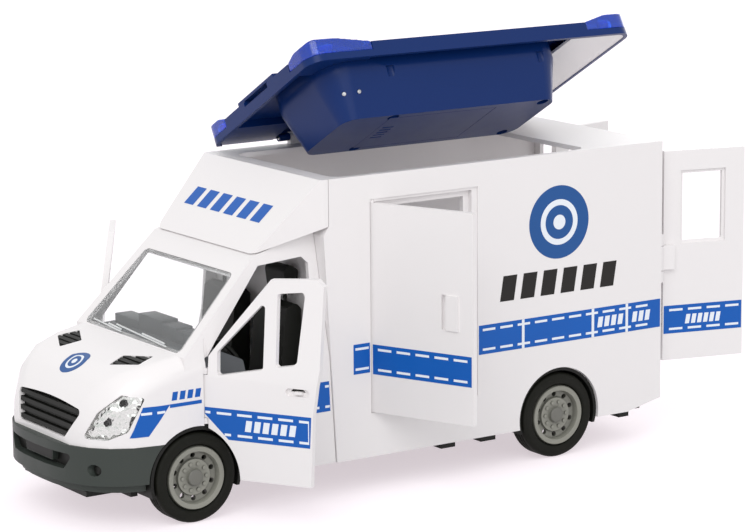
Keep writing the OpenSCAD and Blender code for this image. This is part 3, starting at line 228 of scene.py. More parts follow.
def make_materials(colours):
    """All finishes of the van, by name."""
    return {
        # ABS from a polished mould: an even warm white with soft, slightly rippled reflections
        "abs_white": moulded("Moulded ABS, gloss white", colours.body, 0.3, drift=0.006),
        # The same in royal blue: deep, with weaker reflections
        "abs_blue": moulded("Moulded ABS, gloss royal blue", colours.lid, 0.3, Specular_IOR_Level=0.18),
        # Clear-tinted polystyrene: light goes some way in, so the edges glow a purer blue
        "lamp_blue": moulded("Tinted polystyrene, blue", colours.lamp, 0.12, ior=1.59, drift=0.04,
                             Transmission_Weight=0.7, Specular_IOR_Level=0.4),
        # Clear polystyrene: water-clear, with sharp reflections
        "clear": moulded("Clear polystyrene", linear("#F8FAFA"), 0.02, ior=1.45, drift=0.0, peel=6.0,
                         peel_depth=0.002, Transmission_Weight=1.0),
        # The same with a frosted face, on raised marks: pale and blurred. Its pale white is painted
        # highlight, for the glints of clear raised ridges
        "frost_and_glint": moulded("Clear polystyrene, frosted", linear("#F8FAFA"), 0.45, drift=0.0,
                         Transmission_Weight=0.35),
        # ABS from a spark-eroded mould: a dark grey with a fine matt grain
        "abs_grey": moulded("Moulded ABS, satin dark grey", colours.bumper, 0.5, grain=0.45,
                            Specular_IOR_Level=0.3),
        # The same in black: duller, so that hollows stay dark. Sheets and discs of it also paint the shade
        # in the air intake, the bumper's recesses and the door grips
        "abs_black": moulded("Moulded ABS, satin black", linear("#151613"), 0.48, grain=0.45,
                             Specular_IOR_Level=0.2),
        # The same in a middle grey: light enough to show the steps of the dashboard
        "abs_dash": moulded("Moulded ABS, satin dash grey", linear("#54585B"), 0.55, grain=0.5),
        # The same in the grey of the hub caps: a shade darker than the rims
        "abs_disc": moulded("Moulded ABS, satin disc grey", linear("#6C6C65"), 0.42, grain=0.6),
        # The same in the grey of the rims: painted shade in the hollows sets off the spokes
        "abs_rim": moulded("Moulded ABS, satin rim grey", colours.rim, 0.42, grain=0.6, drift=0.06,
                           painted_shade_reach=4.0),
        # Soft PVC tyre: near black, dull, with a little bloom
        "tyre": moulded("Soft PVC, black", linear("#13140E"), 0.62, grain=0.35, drift=0.1,
                        Specular_IOR_Level=0.15),
        # Vacuum-metallised plastic: a bright mirror, broken up by small facets
        "chrome": metal("Vacuum-metallised plastic", linear("#DCDCD8"), 0.1, facet=2.2),
        # Zinc-plated steel wire and screws: a cool satin grey with fine marks
        "steel": metal("Zinc-plated steel", linear("#B5B7B9"), 0.32, brush=0.4),
        # Bare pressed steel: darker and duller
        "flywheel": metal("Pressed steel", linear("#8B8E90"), 0.42, brush=0.5),
        # Natural acetal: waxy and slightly translucent
        "acetal": moulded("Natural acetal", linear("#E6E2D5"), 0.4, Subsurface_Weight=0.15),
        # Glass-fibre board under green lacquer: glossy, with an uneven tint
        "board": moulded("Lacquered circuit board, green", linear("#23683A"), 0.35, drift=0.15),
        # Foil round the cells: plain brassy metal
        "cell": metal("Plain foil wrap", linear("#B08D2A"), 0.35),
        # Epoxy of the small lamps: clear and glossy, with a hint of blue
        "epoxy": moulded("Clear epoxy", linear("#EEF4FF"), 0.1, Transmission_Weight=0.6),
        # Printed vinyl film: flat, even colour with a soft sheen
        "vinyl_blue": moulded("Vinyl film, blue", colours.band, 0.38, drift=0.04, peel=1.6,
                              Specular_IOR_Level=0.25),
        # The same in a deeper, greyer blue for the round badges
        "vinyl_badge": moulded("Vinyl film, deep blue", linear("#1F5596"), 0.38, drift=0.04, peel=1.6,
                               Specular_IOR_Level=0.25),
        # The same in a cool white that stands off from the body
        "vinyl_white": moulded("Vinyl film, white", linear("#EDF3FA"), 0.38, drift=0.02, peel=1.6),
        # The same in black: the weakest sheen
        "vinyl_black": moulded("Vinyl film, black", linear("#201E1C"), 0.4, drift=0.06, peel=1.6,
                               Specular_IOR_Level=0.2),
    }


FINISH = {}


# Modelling helpers


def select_only(piece):
    """Makes one object the only selected and active one."""
    bpy.ops.object.select_all(action="DESELECT")
    piece.select_set(True)
    bpy.context.view_layer.objects.active = piece


def edit_all(piece):
    """Opens one object in edit mode, with all of it selected."""
    select_only(piece)
    bpy.ops.object.mode_set(mode="EDIT")
    bpy.ops.mesh.select_all(action="SELECT")


def apply_all(piece):
    """Applies every modifier and puts the object's place into its mesh."""
    select_only(piece)
    for modifier in list(piece.modifiers):
        bpy.ops.object.modifier_apply(modifier=modifier.name)
    bpy.ops.object.transform_apply(location=True, rotation=True, scale=True)


def pull(piece, chosen, shift):
    """Moves the vertices whose numbers are in chosen."""
    select_only(piece)
    bpy.ops.object.mode_set(mode="EDIT")
    bpy.ops.mesh.select_all(action="DESELECT")
    bpy.ops.object.mode_set(mode="OBJECT")
    for vertex in piece.data.vertices:
        vertex.select = vertex.index in chosen
    bpy.ops.object.mode_set(mode="EDIT")
    bpy.ops.transform.translate(value=shift)
    bpy.ops.object.mode_set(mode="OBJECT")


def finish_piece(piece, name, body, material, smooth=30, flat=False):
    """Names a piece, shades it, gives it its finish and lets it ride on its body. flat keeps the shading
    of large flat faces even, up to their rounded edges."""
    piece.name = name
    piece.data.name = name
    piece.data.materials.clear()
    piece.data.materials.append(FINISH[material])
    select_only(piece)
    bpy.ops.object.shade_smooth_by_angle(angle=math.radians(smooth))
    if flat:
        even = piece.modifiers.new("Even", "WEIGHTED_NORMAL")
        even.keep_sharp = True
        bpy.ops.object.modifier_apply(modifier=even.name)
    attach(piece, body)
    return piece


def soften(node, body, material, edge=None, angle=32, smooth=40, melt=0.0):
    """Models a moulding over its solid: the same form, with the small radius that a mould leaves on
    edges. melt is the cell in mm of a finer skin that is smoothed instead, for a form that is round all
    over."""
    sizes = bpy.context.scene.toy_van_sizes
    piece = bpy.data.objects.new(node + "_moulding", frame["nodes"][node].data.copy())
    bpy.context.scene.collection.objects.link(piece)
    edit_all(piece)
    bpy.ops.mesh.remove_doubles(threshold=WELD)
    bpy.ops.mesh.dissolve_limited(angle_limit=math.radians(FLAT_TURN))
    bpy.ops.object.mode_set(mode="OBJECT")
    if melt:
        skin = piece.modifiers.new("Skin", "REMESH")
        skin.mode = "VOXEL"
        skin.voxel_size = melt * MM
        ease = piece.modifiers.new("Ease", "SMOOTH")
        ease.iterations = 14
    else:
        bevel = piece.modifiers.new("Edge", "BEVEL")
        bevel.width = sizes.edge if edge is None else edge * MM
        bevel.segments = 2
        bevel.limit_method = "ANGLE"
        bevel.angle_limit = math.radians(angle)
    apply_all(piece)
    finish_piece(piece, node + "_moulding", body, material, smooth=smooth, flat=not melt)
    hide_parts(node)
    return piece


def recolour(node, material):
    """Gives a solid that is right as it is a better finish."""
    mesh = frame["nodes"][node].data
    mesh.materials.clear()
    mesh.materials.append(FINISH[material])


class FlatPlace:
    """A flat place for stickers: a point in mm, the direction along it and the direction up it."""

    def __init__(self, body, point, along, up=(0, 0, 1)):
        self.body = body
        self.point = Vector(point) * MM
        self.along = Vector(along).normalized()
        self.up = Vector(up).normalized()
        self.out = self.along.cross(self.up)

    def at(self, a, b):
        """The point that lies a mm along and b mm up."""
        return self.point + self.along * (a * MM) + self.up * (b * MM)

    def turn(self):
        return Matrix((self.along, self.up, self.out)).transposed().to_euler()


def stud(name, body, place, facing, radius, height, material):
    """A short round stud with a rounded end, standing on a place in mm and facing a direction."""
    bpy.ops.object.select_all(action="DESELECT")
    bpy.ops.mesh.primitive_cylinder_add(vertices=32, radius=radius * MM, depth=height * MM,
                                        location=(place + facing * (height / 2)) * MM,
                                        rotation=facing.to_track_quat("Z", "Y").to_euler())
    piece = bpy.context.object
    end = piece.modifiers.new("End", "BEVEL")
    end.width = min(0.4 * radius, 0.45 * height) * MM
    end.segments = 4
    apply_all(piece)
    return finish_piece(piece, name, body, material, smooth=50)


def lay(piece, panel, layer, wrap, repeat=1, step=0.0, thick=None, edge=0.0):
    """Gives a flat outline the thickness of a film on its panel. wrap names a moulding that it follows:
    the film is laid straight down on it from the panel."""
    film = thick or bpy.context.scene.toy_van_sizes.sticker
    lift = film * (layer - 1)
    if wrap:
        hold = piece.modifiers.new("Hold", "SHRINKWRAP")
        hold.target = bpy.data.objects[wrap]
        hold.wrap_method = "PROJECT"
        hold.use_project_z = True
        hold.use_negative_direction = True
        hold.use_positive_direction = False
        hold.offset = lift + WRAP_GAP
        body = piece.modifiers.new("Film", "SOLIDIFY")
        body.thickness = film
        body.offset = 1.0
    else:
        edit_all(piece)
        bpy.ops.transform.translate(value=panel.out * lift)
        bpy.ops.mesh.extrude_region_move(TRANSFORM_OT_translate={"value": panel.out * film})
        bpy.ops.mesh.select_all(action="SELECT")
        bpy.ops.mesh.normals_make_consistent(inside=False)
        bpy.ops.object.mode_set(mode="OBJECT")
    if edge:
        round_off = piece.modifiers.new("Edge", "BEVEL")
        round_off.width = edge
        round_off.segments = 3
    if repeat > 1:
        row = piece.modifiers.new("Row", "ARRAY")
        row.count = repeat
        row.use_relative_offset = False
        row.use_constant_offset = True
        row.constant_offset_displace = (step * MM, 0, 0)
    apply_all(piece)


def sticker(name, panel, a0, a1, b0, b1, material, layer=1, lean=(0, 0), repeat=1, step=0.0, wrap=None,
            thick=None, edge=0.0, cut=None):
    """A piece of vinyl film on a panel, from a0 to a1 and b0 to b1 in mm. lean shifts the upper corners,
    and cut takes off what lies below a line between two places. With thick and edge it is a moulded bar
    instead."""
    bpy.ops.object.select_all(action="DESELECT")
    middle = panel.at((a0 + a1) / 2, (b0 + b1) / 2)
    bpy.ops.mesh.primitive_plane_add(size=1, location=middle, rotation=panel.turn())
    piece = bpy.context.object
    piece.scale = ((a1 - a0) * MM, (b1 - b0) * MM, 1)
    bpy.ops.object.transform_apply(location=False, rotation=False, scale=True)
    upper = [vertex for vertex in piece.data.vertices if vertex.co.y > 0]
    corners = [[vertex.index for vertex in upper if (vertex.co.x > 0) == end] for end in (False, True)]
    for corner, shift in zip(corners, lean):
        if shift:
            pull(piece, corner, panel.along * (shift * MM))
    if cut:
        start, end = (panel.at(*place) for place in cut)
        below = (end - start).cross(panel.out).normalized()
        edit_all(piece)
        bpy.ops.mesh.bisect(plane_co=start, plane_no=below, clear_outer=True)
        bpy.ops.object.mode_set(mode="OBJECT")
    if wrap:
        edit_all(piece)
        bpy.ops.mesh.subdivide(number_cuts=WRAP_CUTS)
        bpy.ops.object.mode_set(mode="OBJECT")
    lay(piece, panel, layer, wrap, repeat, step, thick, edge)
    return finish_piece(piece, name, panel.body, material)


def disc(name, panel, a, b, radius, material, layer=1, wrap=None):
    """A round piece of vinyl film."""
    bpy.ops.object.select_all(action="DESELECT")
    bpy.ops.mesh.primitive_circle_add(vertices=72, radius=radius * MM, fill_type="NGON",
                                      location=panel.at(a, b), rotation=panel.turn())
    piece = bpy.context.object
    edit_all(piece)
    for _ in range(WRAP_RINGS if wrap else 1):
        bpy.ops.mesh.inset(thickness=radius * MM / (WRAP_RINGS + 1))
    bpy.ops.object.mode_set(mode="OBJECT")
    lay(piece, panel, layer, wrap)
    return finish_piece(piece, name, panel.body, material)


def roundel(name, panel, a, b, radius, wrap=None):
    """A plain round badge: a blue disc, a white ring, a blue core and a white heart."""
    for layer, (part, share, material) in enumerate((
            ("disc", 1.0, "vinyl_badge"), ("ring", 0.62, "vinyl_white"), ("core", 0.46, "vinyl_badge"),
            ("heart", 0.2, "vinyl_white")), 1):
        disc(f"{name}_{part}", panel, a, b, radius * share, material, layer, wrap)


def bars(name, panel, a0, a1, b0, b1, count, material, layer=1, lean=0.0, share=0.68):
    """A row of plain slanted bars between a0 and a1. share is a bar's part of the spacing."""
    step = (a1 - a0) / (count - 1 + share)
    return sticker(name, panel, a0, a0 + step * share, b0, b1, material, layer, (lean, lean), count, step)


def mirrored(piece, name, body):
    """The same piece on the van's right side."""
    select_only(piece)
    bpy.ops.object.duplicate()
    copy = bpy.context.object
    copy.parent = None
    edit_all(copy)
    bpy.ops.transform.mirror(constraint_axis=(False, True, False), orient_type="GLOBAL",
                             center_override=(0, 0, 0))
    bpy.ops.mesh.normals_make_consistent(inside=False)
    bpy.ops.object.mode_set(mode="OBJECT")
    copy.name = name
    copy.data.name = name
    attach(copy, body)
    return copy


def door_panel(joint, away, offset):
    """The outer face of a hinged door as it stands, offset in mm out from the hinge's axis. away is the
    door's direction when shut."""
    x, y, _ = (v / MM for v in JOINTS[joint]["pos_m"])
    turn = Matrix.Rotation(math.radians(-DOOR_OPEN[joint]), 3, "Z")
    along = turn @ Vector(away)
    out = along.cross(Vector((0, 0, 1)))
    return FlatPlace(JOINTS[joint]["child"], Vector((x, y, 0)) + out * offset, along)


# Operators


class TOYVAN_OT_shells(bpy.types.Operator):
    """White body mouldings: cab, fairing, load box and floor"""

    bl_idname = "toyvan.shells"
    bl_label = "Body shells"

    def execute(self, context):
        soften("cab_shell", "vehicle", "abs_white", edge=0.3)
        soften("roof_fairing", "vehicle", "abs_white", edge=0.8)
        soften("box_shell", "vehicle", "abs_white", edge=0.5)
        soften("box_floor", "vehicle", "abs_white")
        return {"FINISHED"}


class TOYVAN_OT_doors(bpy.types.Operator):
    """Cab, side and rear doors with their pins"""

    bl_idname = "toyvan.doors"
    bl_label = "Doors"

    def execute(self, context):
        for node in ("cab_door_left", "cab_door_right", "side_door", "rear_door_left", "rear_door_right"):
            soften(node, node, "abs_white", edge=0.35)
        for node in ("cab_door_pins", "rear_door_pins", "lid_hinge_pin"):
            recolour(node, "steel")
        return {"FINISHED"}


class TOYVAN_OT_front(bpy.types.Operator):
    """Bumper, grille, bonnet vents, headlights and windscreen"""

    bl_idname = "toyvan.front"
    bl_label = "Front trim"

    # Two lamp seats of the left headlight: a point of the reflector in mm and the way it faces
    SEATS = (((132.4, 43.4, 43.8), (0.54, 0.83, 0.11)), ((138.7, 39.6, 34.9), (0.74, 0.67, 0.0)))
    # Radius of a bowl, how far its ball stands off in radii, and a bulb's depth, radius and height, in mm
    BOWL_R, BOWL_OFF, BULB_SINK, BULB_R, BULB_H = 4.6, 0.7, 1.25, 1.25, 1.9
    # The bottom of the left recess in the bumper, and the radius and height of the black disc in it that
    # paints the recess's shade, in mm
    FOG_SEAT, FOG_R, FOG_H = (140.1, 37.5, 14), 2.5, 3.4
    # Black sheets that paint the shade in the air intake, in mm: name, place in x, half width, lower edge,
    # upper edge and flare
    INTAKE_SHADE = (("intake_floor", 148.5, 23, 13, 20, 5), ("intake_plate_face", 151.5, 11.6, 15, 19.6, 0.8))
    # A point on the foot of the screen in mm, and the way up it
    SCREEN_FOOT, SCREEN_UP = (104.8, 0, 61), (-0.7006, 0, 0.7135)
    # Wipers on the screen in mm: start and end across it, height at the start and at the end
    WIPERS = ((-37, -9, 3.6, 1.8), (-17, 31, 4.6, 2.0))

    def bowl(self, place, facing):
        """A ball that is taken out of a reflector."""
        bpy.ops.object.select_all(action="DESELECT")
        bpy.ops.mesh.primitive_uv_sphere_add(
            segments=40, ring_count=24, radius=self.BOWL_R * MM,
            location=(place + facing * (self.BOWL_OFF * self.BOWL_R)) * MM)
        return bpy.context.object

    def headlight(self, side):
        """A bright reflector with two bowls, a bulb in each, and the lens over them."""
        flip = 1 if side == "left" else -1
        node = "headlight_reflector_" + side
        piece = soften(node, "vehicle", "chrome", edge=0.15)
        for k, (place, facing) in enumerate(self.SEATS):
            place, facing = (Vector((v[0], v[1] * flip, v[2])) for v in (place, facing))
            facing.normalize()
            ball = self.bowl(place, facing)
            cut = piece.modifiers.new("Bowl", "BOOLEAN")
            cut.object = ball
            cut.operation = "DIFFERENCE"
            cut.solver = "EXACT"
            apply_all(piece)
            bpy.data.objects.remove(ball)
            stud(f"bulb_{side}_{k}", "vehicle", place - facing * self.BULB_SINK, facing, self.BULB_R,
                 self.BULB_H, "abs_black")
        select_only(piece)
        bpy.ops.object.shade_smooth_by_angle(angle=math.radians(30))
        soften("headlight_lens_" + side, "vehicle", "clear", edge=0.2)

    def fog_lamp(self, side):
        """A black round disc at the bottom of the recess in the bumper: painted shade, for the dark inside
        the recess.
        """
        x, y, z = self.FOG_SEAT
        stud("fog_lamp_" + side, "vehicle", Vector((x, y if side == "left" else -y, z)), Vector((1, 0, 0)),
             self.FOG_R, self.FOG_H, "abs_black")

    def execute(self, context):
        soften("front_bumper", "vehicle", "abs_grey", edge=0.5)
        # Black sheets paint the shade inside the air intake and on the raised plate in it
        for name, x, half, low, high, flare in self.INTAKE_SHADE:
            face = FlatPlace("vehicle", (x, 0, 0), (0, 1, 0))
            sticker(name, face, -half, half, low, high, "abs_black", lean=(-flare, flare))
        soften("grille", "vehicle", "abs_black", edge=0.15)
        soften("bonnet_vents", "vehicle", "abs_black", edge=0.1)
        for side in ("left", "right"):
            self.headlight(side)
            self.fog_lamp(side)
        soften("windscreen", "vehicle", "clear", edge=0.15, smooth=12)
        # Two wipers stand as thin ridges on the lower edge of the screen; their pale white is painted
        # highlight
        screen = FlatPlace("vehicle", self.SCREEN_FOOT, (0, 1, 0), self.SCREEN_UP)
        for k, (start, end, low, high) in enumerate(self.WIPERS):
            slope = FlatPlace("vehicle", screen.at(start, low) / MM,
                              screen.along * (end - start) + screen.up * (high - low),
                              screen.up * (end - start) - screen.along * (high - low))
            reach = math.hypot(end - start, high - low)
            sticker(f"wiper_{k}_blade", slope, 0, reach, 0, 0.7, "frost_and_glint", thick=0.35 * MM)
            sticker(f"wiper_{k}_arm", slope, 0.5 * reach, 0.94 * reach, 0.9, 1.7, "frost_and_glint", thick=0.5 * MM)
        return {"FINISHED"}


class TOYVAN_OT_interior(bpy.types.Operator):
    """Dashboard, steering wheel, seats and cab floor"""

    bl_idname = "toyvan.interior"
    bl_label = "Cab interior"

    # The hood's foot on the dashboard in mm, and its steps: from, to and height
    HOOD_FOOT = (80, 0, 59)
    HOOD = ((-40, -18, 5.0), (-18, 3, 8.6), (3, 16, 7.4), (16, 23, 6.4))

    def execute(self, context):
        soften("dashboard", "vehicle", "abs_dash", edge=0.4)
        soften("steering_wheel", "vehicle", "abs_black", edge=0.15)
        soften("seat_left", "vehicle", "abs_black", edge=0.8)
        soften("seat_right", "vehicle", "abs_black", edge=0.8)
        soften("cab_floor", "vehicle", "abs_dash")
        # The stepped hood along the top of the dashboard
        top = FlatPlace("vehicle", self.HOOD_FOOT, (0, 1, 0))
        for k, (start, end, height) in enumerate(self.HOOD):
            sticker(f"dash_hood_{k}", top, start, end, 0, height, "abs_dash", thick=9 * MM, edge=0.5 * MM)
        return {"FINISHED"}


class TOYVAN_OT_lid(bpy.types.Operator):
    """Roof lid with its lamps, housing and electronics"""

    bl_idname = "toyvan.lid"
    bl_label = "Roof lid"

    # Two small screws that hold the housing from the side: a point of its wall in mm and the way it faces
    SCREWS = (((10.8, 35.4, 168.4), (0.53, 0.84, 0.12)), ((3.7, 36.9, 169.1), (0.0, 0.98, 0.2)))
    # How deep a screw's head is set, its radius and its height, in mm
    SCREW_SINK, SCREW_R, SCREW_H = 0.3, 1.0, 0.9

    def execute(self, context):
        soften("roof_lid", "roof_lid", "abs_blue", edge=0.5)
        soften("lid_liner", "roof_lid", "abs_white", edge=0.2)
        soften("lid_housing", "roof_lid", "abs_blue", edge=0.5)
        soften("battery_cover", "roof_lid", "abs_blue", edge=0.25)
        for corner in ("front_left", "front_right", "rear_left", "rear_right"):
            soften("lamp_" + corner, "roof_lid", "lamp_blue", smooth=60, melt=0.4)
        for k, (place, facing) in enumerate(self.SCREWS):
            facing = Vector(facing).normalized()
            stud(f"housing_side_screw_{k}", "roof_lid", Vector(place) - facing * self.SCREW_SINK, facing,
                 self.SCREW_R, self.SCREW_H, "steel")
        for node, material in (("battery_cells", "cell"), ("battery_contacts", "steel"),
                               ("circuit_board", "board"), ("speaker", "abs_black"),
                               ("lamp_leds", "epoxy"), ("housing_screws", "steel")):
            recolour(node, material)
        return {"FINISHED"}


class TOYVAN_OT_running_gear(bpy.types.Operator):
    """Chassis, axles, wheels and friction drive"""

    bl_idname = "toyvan.running_gear"
    bl_label = "Running gear"

    # How deep a hub cap's foot lies behind the rim's outer edge, its radius and its height, in mm
    CAP_SINK, CAP_R, CAP_H = 2.2, 3.75, 1.7

    def hub_cap(self, end, side, body, rim):
        """A darker cap on the boss in the middle of a rim."""
        flip = 1 if side == "left" else -1
        low, high = (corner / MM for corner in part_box(rim))
        x, _, z = (v / MM for v in JOINTS[end + "_axle_spin"]["pos_m"])
        outer = high.y if flip > 0 else low.y
        stud(f"hub_cap_{end}_{side}", body, Vector((x, outer - self.CAP_SINK * flip, z)),
             Vector((0, flip, 0)), self.CAP_R, self.CAP_H, "abs_disc")

    def execute(self, context):
        soften("chassis", "vehicle", "abs_black", edge=0.25)
        for end, body in (("front", "front_wheels"), ("rear", "rear_wheels")):
            for side in ("left", "right"):
                soften(f"tyre_{end}_{side}", body, "tyre", edge=0.3, angle=25)
                rim = f"rim_{end}_{side}"
                soften(rim, body, "abs_rim", edge=0.15, angle=40)
                self.hub_cap(end, side, body, rim)
            recolour(end + "_axle", "steel")
        recolour("chassis_screws", "steel")
        for side in ("left", "right"):
            soften("motor_casing_" + side, "vehicle", "abs_grey", edge=0.3)
        for node in ("axle_gear", "compound_gear"):
            recolour(node, "acetal")
        recolour("flywheel", "flywheel")
        return {"FINISHED"}


class TOYVAN_OT_stripes(bpy.types.Operator):
    """Blue bands with white dashes on the sides and doors"""

    bl_idname = "toyvan.stripes"
    bl_label = "Stripes"

    # Lower edge in mm of the band on the box, on each kind of door and on the post behind the cab door
    BOX_Z, SIDE_DOOR_Z, REAR_DOOR_Z, CAB_DOOR_Z, POST_Z = 42.2, 41.2, 36.6, 24.2, 27.0
    # How far a door's face, the rear door's face and the bottom of a grip, where a black sheet paints its
    # shadow, lie out from the hinge, in mm
    DOOR_FACE, REAR_FACE, GRIP_FACE = 1.5, -2.3, 0.1
    # From a band's edge to its dashes, width of a divider, and slant of the white bars, in mm
    MARGIN, DIVIDER, SLANT = 1.7, 1.5, 0.8
    # How far off the cab's side the film for the wing is laid out, and the spacing of its bars, in mm
    WING_OFF, WING_STEP = 8, 3.9

    def band(self, name, panel, a0, a1, b0, first, lean=(0, 0), cut=None, short=()):
        """One stretch of band with its two rows of dashes, which start at the two places in first. short
        gives the ends of the dashes that the band's end cuts off, for both rows."""
        sizes = bpy.context.scene.toy_van_sizes
        height = sizes.band / MM
        dash, step, thick = sizes.dash / MM, sizes.dash_step / MM, sizes.dash_height / MM
        rows = (("low", b0 + self.MARGIN), ("high", b0 + height - self.MARGIN - thick))
        pieces = [sticker(name, panel, a0, a1, b0, b0 + height, "vinyl_blue", lean=lean, cut=cut)]
        for (row, level), start in zip(rows, first):
            count = int((a1 - start - dash) / step) + 1
            if count > 0:
                pieces.append(sticker(f"{name}_dashes_{row}", panel, start, start + dash, level,
                                      level + thick, "vinyl_white", layer=2, repeat=count, step=step))
        for (row, level), ends in zip(rows, short):
            for k, (start, end) in enumerate(ends):
                pieces.append(sticker(f"{name}_dash_{row}_{k}", panel, start, end, level, level + thick,
                                      "vinyl_white", layer=2))
        return pieces

    def white_bars(self, name, panel, a0, a1, b0, b1, count):
        """A row of white bars on a band."""
        return bars(name, panel, a0, a1, b0, b1, count, "vinyl_white", layer=2, lean=self.SLANT)

    def both(self, pieces, body):
        """The same on the right side."""
        for piece in pieces:
            mirrored(piece, piece.name.replace("left", "right"), body)

    def execute(self, context):
        left = FlatPlace("vehicle", (0, BOX_SIDE, 0), (-1, 0, 0))
        right = FlatPlace("vehicle", (0, -BOX_SIDE, 0), (1, 0, 0))
        self.band("band_ahead_of_door", left, -17.2, -8.3, self.BOX_Z, (-16.2, -16.2))
        self.band("band_behind_door", left, 52.8, 161.0, self.BOX_Z, (55.0, 55.0))
        top = self.BOX_Z + context.scene.toy_van_sizes.band / MM
        for k, place in enumerate((77.6, 119.0, 139.6)):
            sticker(f"band_divider_{k}", left, place, place + self.DIVIDER, self.BOX_Z, top, "vinyl_white",
                    layer=3)
        self.white_bars("band_bars_front", left, 122.5, 137.5, 46.6, 51.6, 4)
        self.white_bars("band_bars_rear", left, 143.5, 154.0, 46.6, 51.6, 3)
        self.band("band_right", right, -161.0, 17.2, self.BOX_Z, (-158.0, -158.0))

        side = door_panel("side_door_hinge", (-1, 0, 0), self.DOOR_FACE)
        self.band("band_side_door", side, 1.2, 53.8, self.SIDE_DOOR_Z, (4.0, 4.0))

        rear = door_panel("rear_door_left_hinge", (0, -1, 0), self.REAR_FACE)
        pieces = self.band("band_rear_door_left", rear, 3.6, 45.6, self.REAR_DOOR_Z, (6.5, 6.5))
        pieces.append(self.white_bars("band_rear_door_left_bars", rear, 15.0, 33.5, 41.0, 45.6, 6))
        self.both(pieces, "rear_door_right")

        # On the cab door, the wheel arch cuts off the band's front corner
        cab = door_panel("cab_door_left_hinge", (-1, 0, 0), self.DOOR_FACE)
        # Painted shadow: a thin black sheet at the bottom of each door grip stands for the shade in its
        # pocket
        grip_shadow = door_panel("cab_door_left_hinge", (-1, 0, 0), self.GRIP_FACE)
        self.both([sticker("grip_slot_left", grip_shadow, 42.2, 49.2, 48.7, 50.0, "abs_black", lean=(1.2, -1.2))],
                  "cab_door_right")
        pieces = self.band("band_cab_door_left", cab, 0.2, 51.8, self.CAB_DOOR_Z, (16.4, 6.2),
                           lean=(0, 0.7), cut=((0.2, 35.0), (11.9, self.CAB_DOOR_Z)),
                           short=(((10.0, 13.1), (46.7, 51.4)), ((0.5, 3.0), (46.6, 51.4))))
        pieces.append(sticker("band_cab_door_left_line", cab, 51.0, 51.4, 27.0, 35.3, "vinyl_white",
                              layer=2))
        pieces.append(self.white_bars("band_cab_door_left_bars", cab, 20.0, 44.5, 28.7, 33.7, 6))
        self.both(pieces, "cab_door_right")

        # Between the cab door and the load box
        post = FlatPlace("vehicle", (0, CAB_SIDE, 0), (-1, 0, 0))
        pieces = self.band("band_post_left", post, -40.4, -29.4, self.POST_Z, (0, 0), lean=(0.6, -0.6),
                           short=(((-40.0, -35.4), (-32.2, -29.8)), ((-39.6, -35.4), (-32.2, -30.2))))
        self.both(pieces, "vehicle")

        # Round the front wing, laid on the cab
        wing = FlatPlace("vehicle", (0, CAB_SIDE + self.WING_OFF, 0), (-1, 0, 0))
        over = "cab_shell_moulding"
        pieces = [sticker("band_wing_left", wing, -131.6, -123.2, 28.5, 41.7, "vinyl_blue",
                          lean=(6.0, 10.4), wrap=over),
                  sticker("band_wing_left_line", wing, -112.9, -96.8, 40.1, 41.7, "vinyl_blue", wrap=over)]
        for k, (start, end) in enumerate(((-126.6, -121.6), (-119.2, -115.4))):
            pieces.append(sticker(f"band_wing_left_dash_{k}", wing, start, end, 38.2, 39.3, "vinyl_white",
                                  layer=2, wrap=over))
        for k in range(4):
            shift = self.WING_STEP * k
            pieces.append(sticker(f"wing_left_bar_{k}", wing, -112.0 + shift, -109.4 + shift, 43.2, 47.0,
                                  "vinyl_blue", lean=(0.7, 0.7), wrap=over))
        self.both(pieces, "vehicle")
        return {"FINISHED"}


class TOYVAN_OT_badges(bpy.types.Operator):
    """Plain round badges and rows of bars"""

    bl_idname = "toyvan.badges"
    bl_label = "Badges and bars"

    # Radius in mm of the round badges on the sides and on the bonnet
    SIDE_R, BONNET_R = 17.5, 7.5

    def execute(self, context):
        left = FlatPlace("vehicle", (0, BOX_SIDE, 0), (-1, 0, 0))
        right = FlatPlace("vehicle", (0, -BOX_SIDE, 0), (1, 0, 0))
        roundel("side_badge_left", left, 99.4, 100.3, self.SIDE_R)
        roundel("side_badge_right", right, -99.4, 100.3, self.SIDE_R)
        bars("side_bars_left", left, 65.0, 132.0, 66.0, 78.0, 6, "vinyl_black", lean=2.0)
        bars("side_bars_right", right, -133.0, -66.0, 66.0, 78.0, 6, "vinyl_black", lean=2.0)
        brow = FlatPlace("vehicle", (50.1, 0, 116.7), (0, 1, 0), (-0.7, 0, 0.71))
        bars("brow_bars", brow, -36.0, 30.0, -5.0, 5.0, 6, "vinyl_blue", lean=1.2)
        bonnet = FlatPlace("vehicle", (137.5, 0, 68), (0, 1, 0), (-0.94, 0, 0.34))
        roundel("bonnet_badge", bonnet, 0.0, 0.0, self.BONNET_R, wrap="cab_shell_moulding")
        return {"FINISHED"}


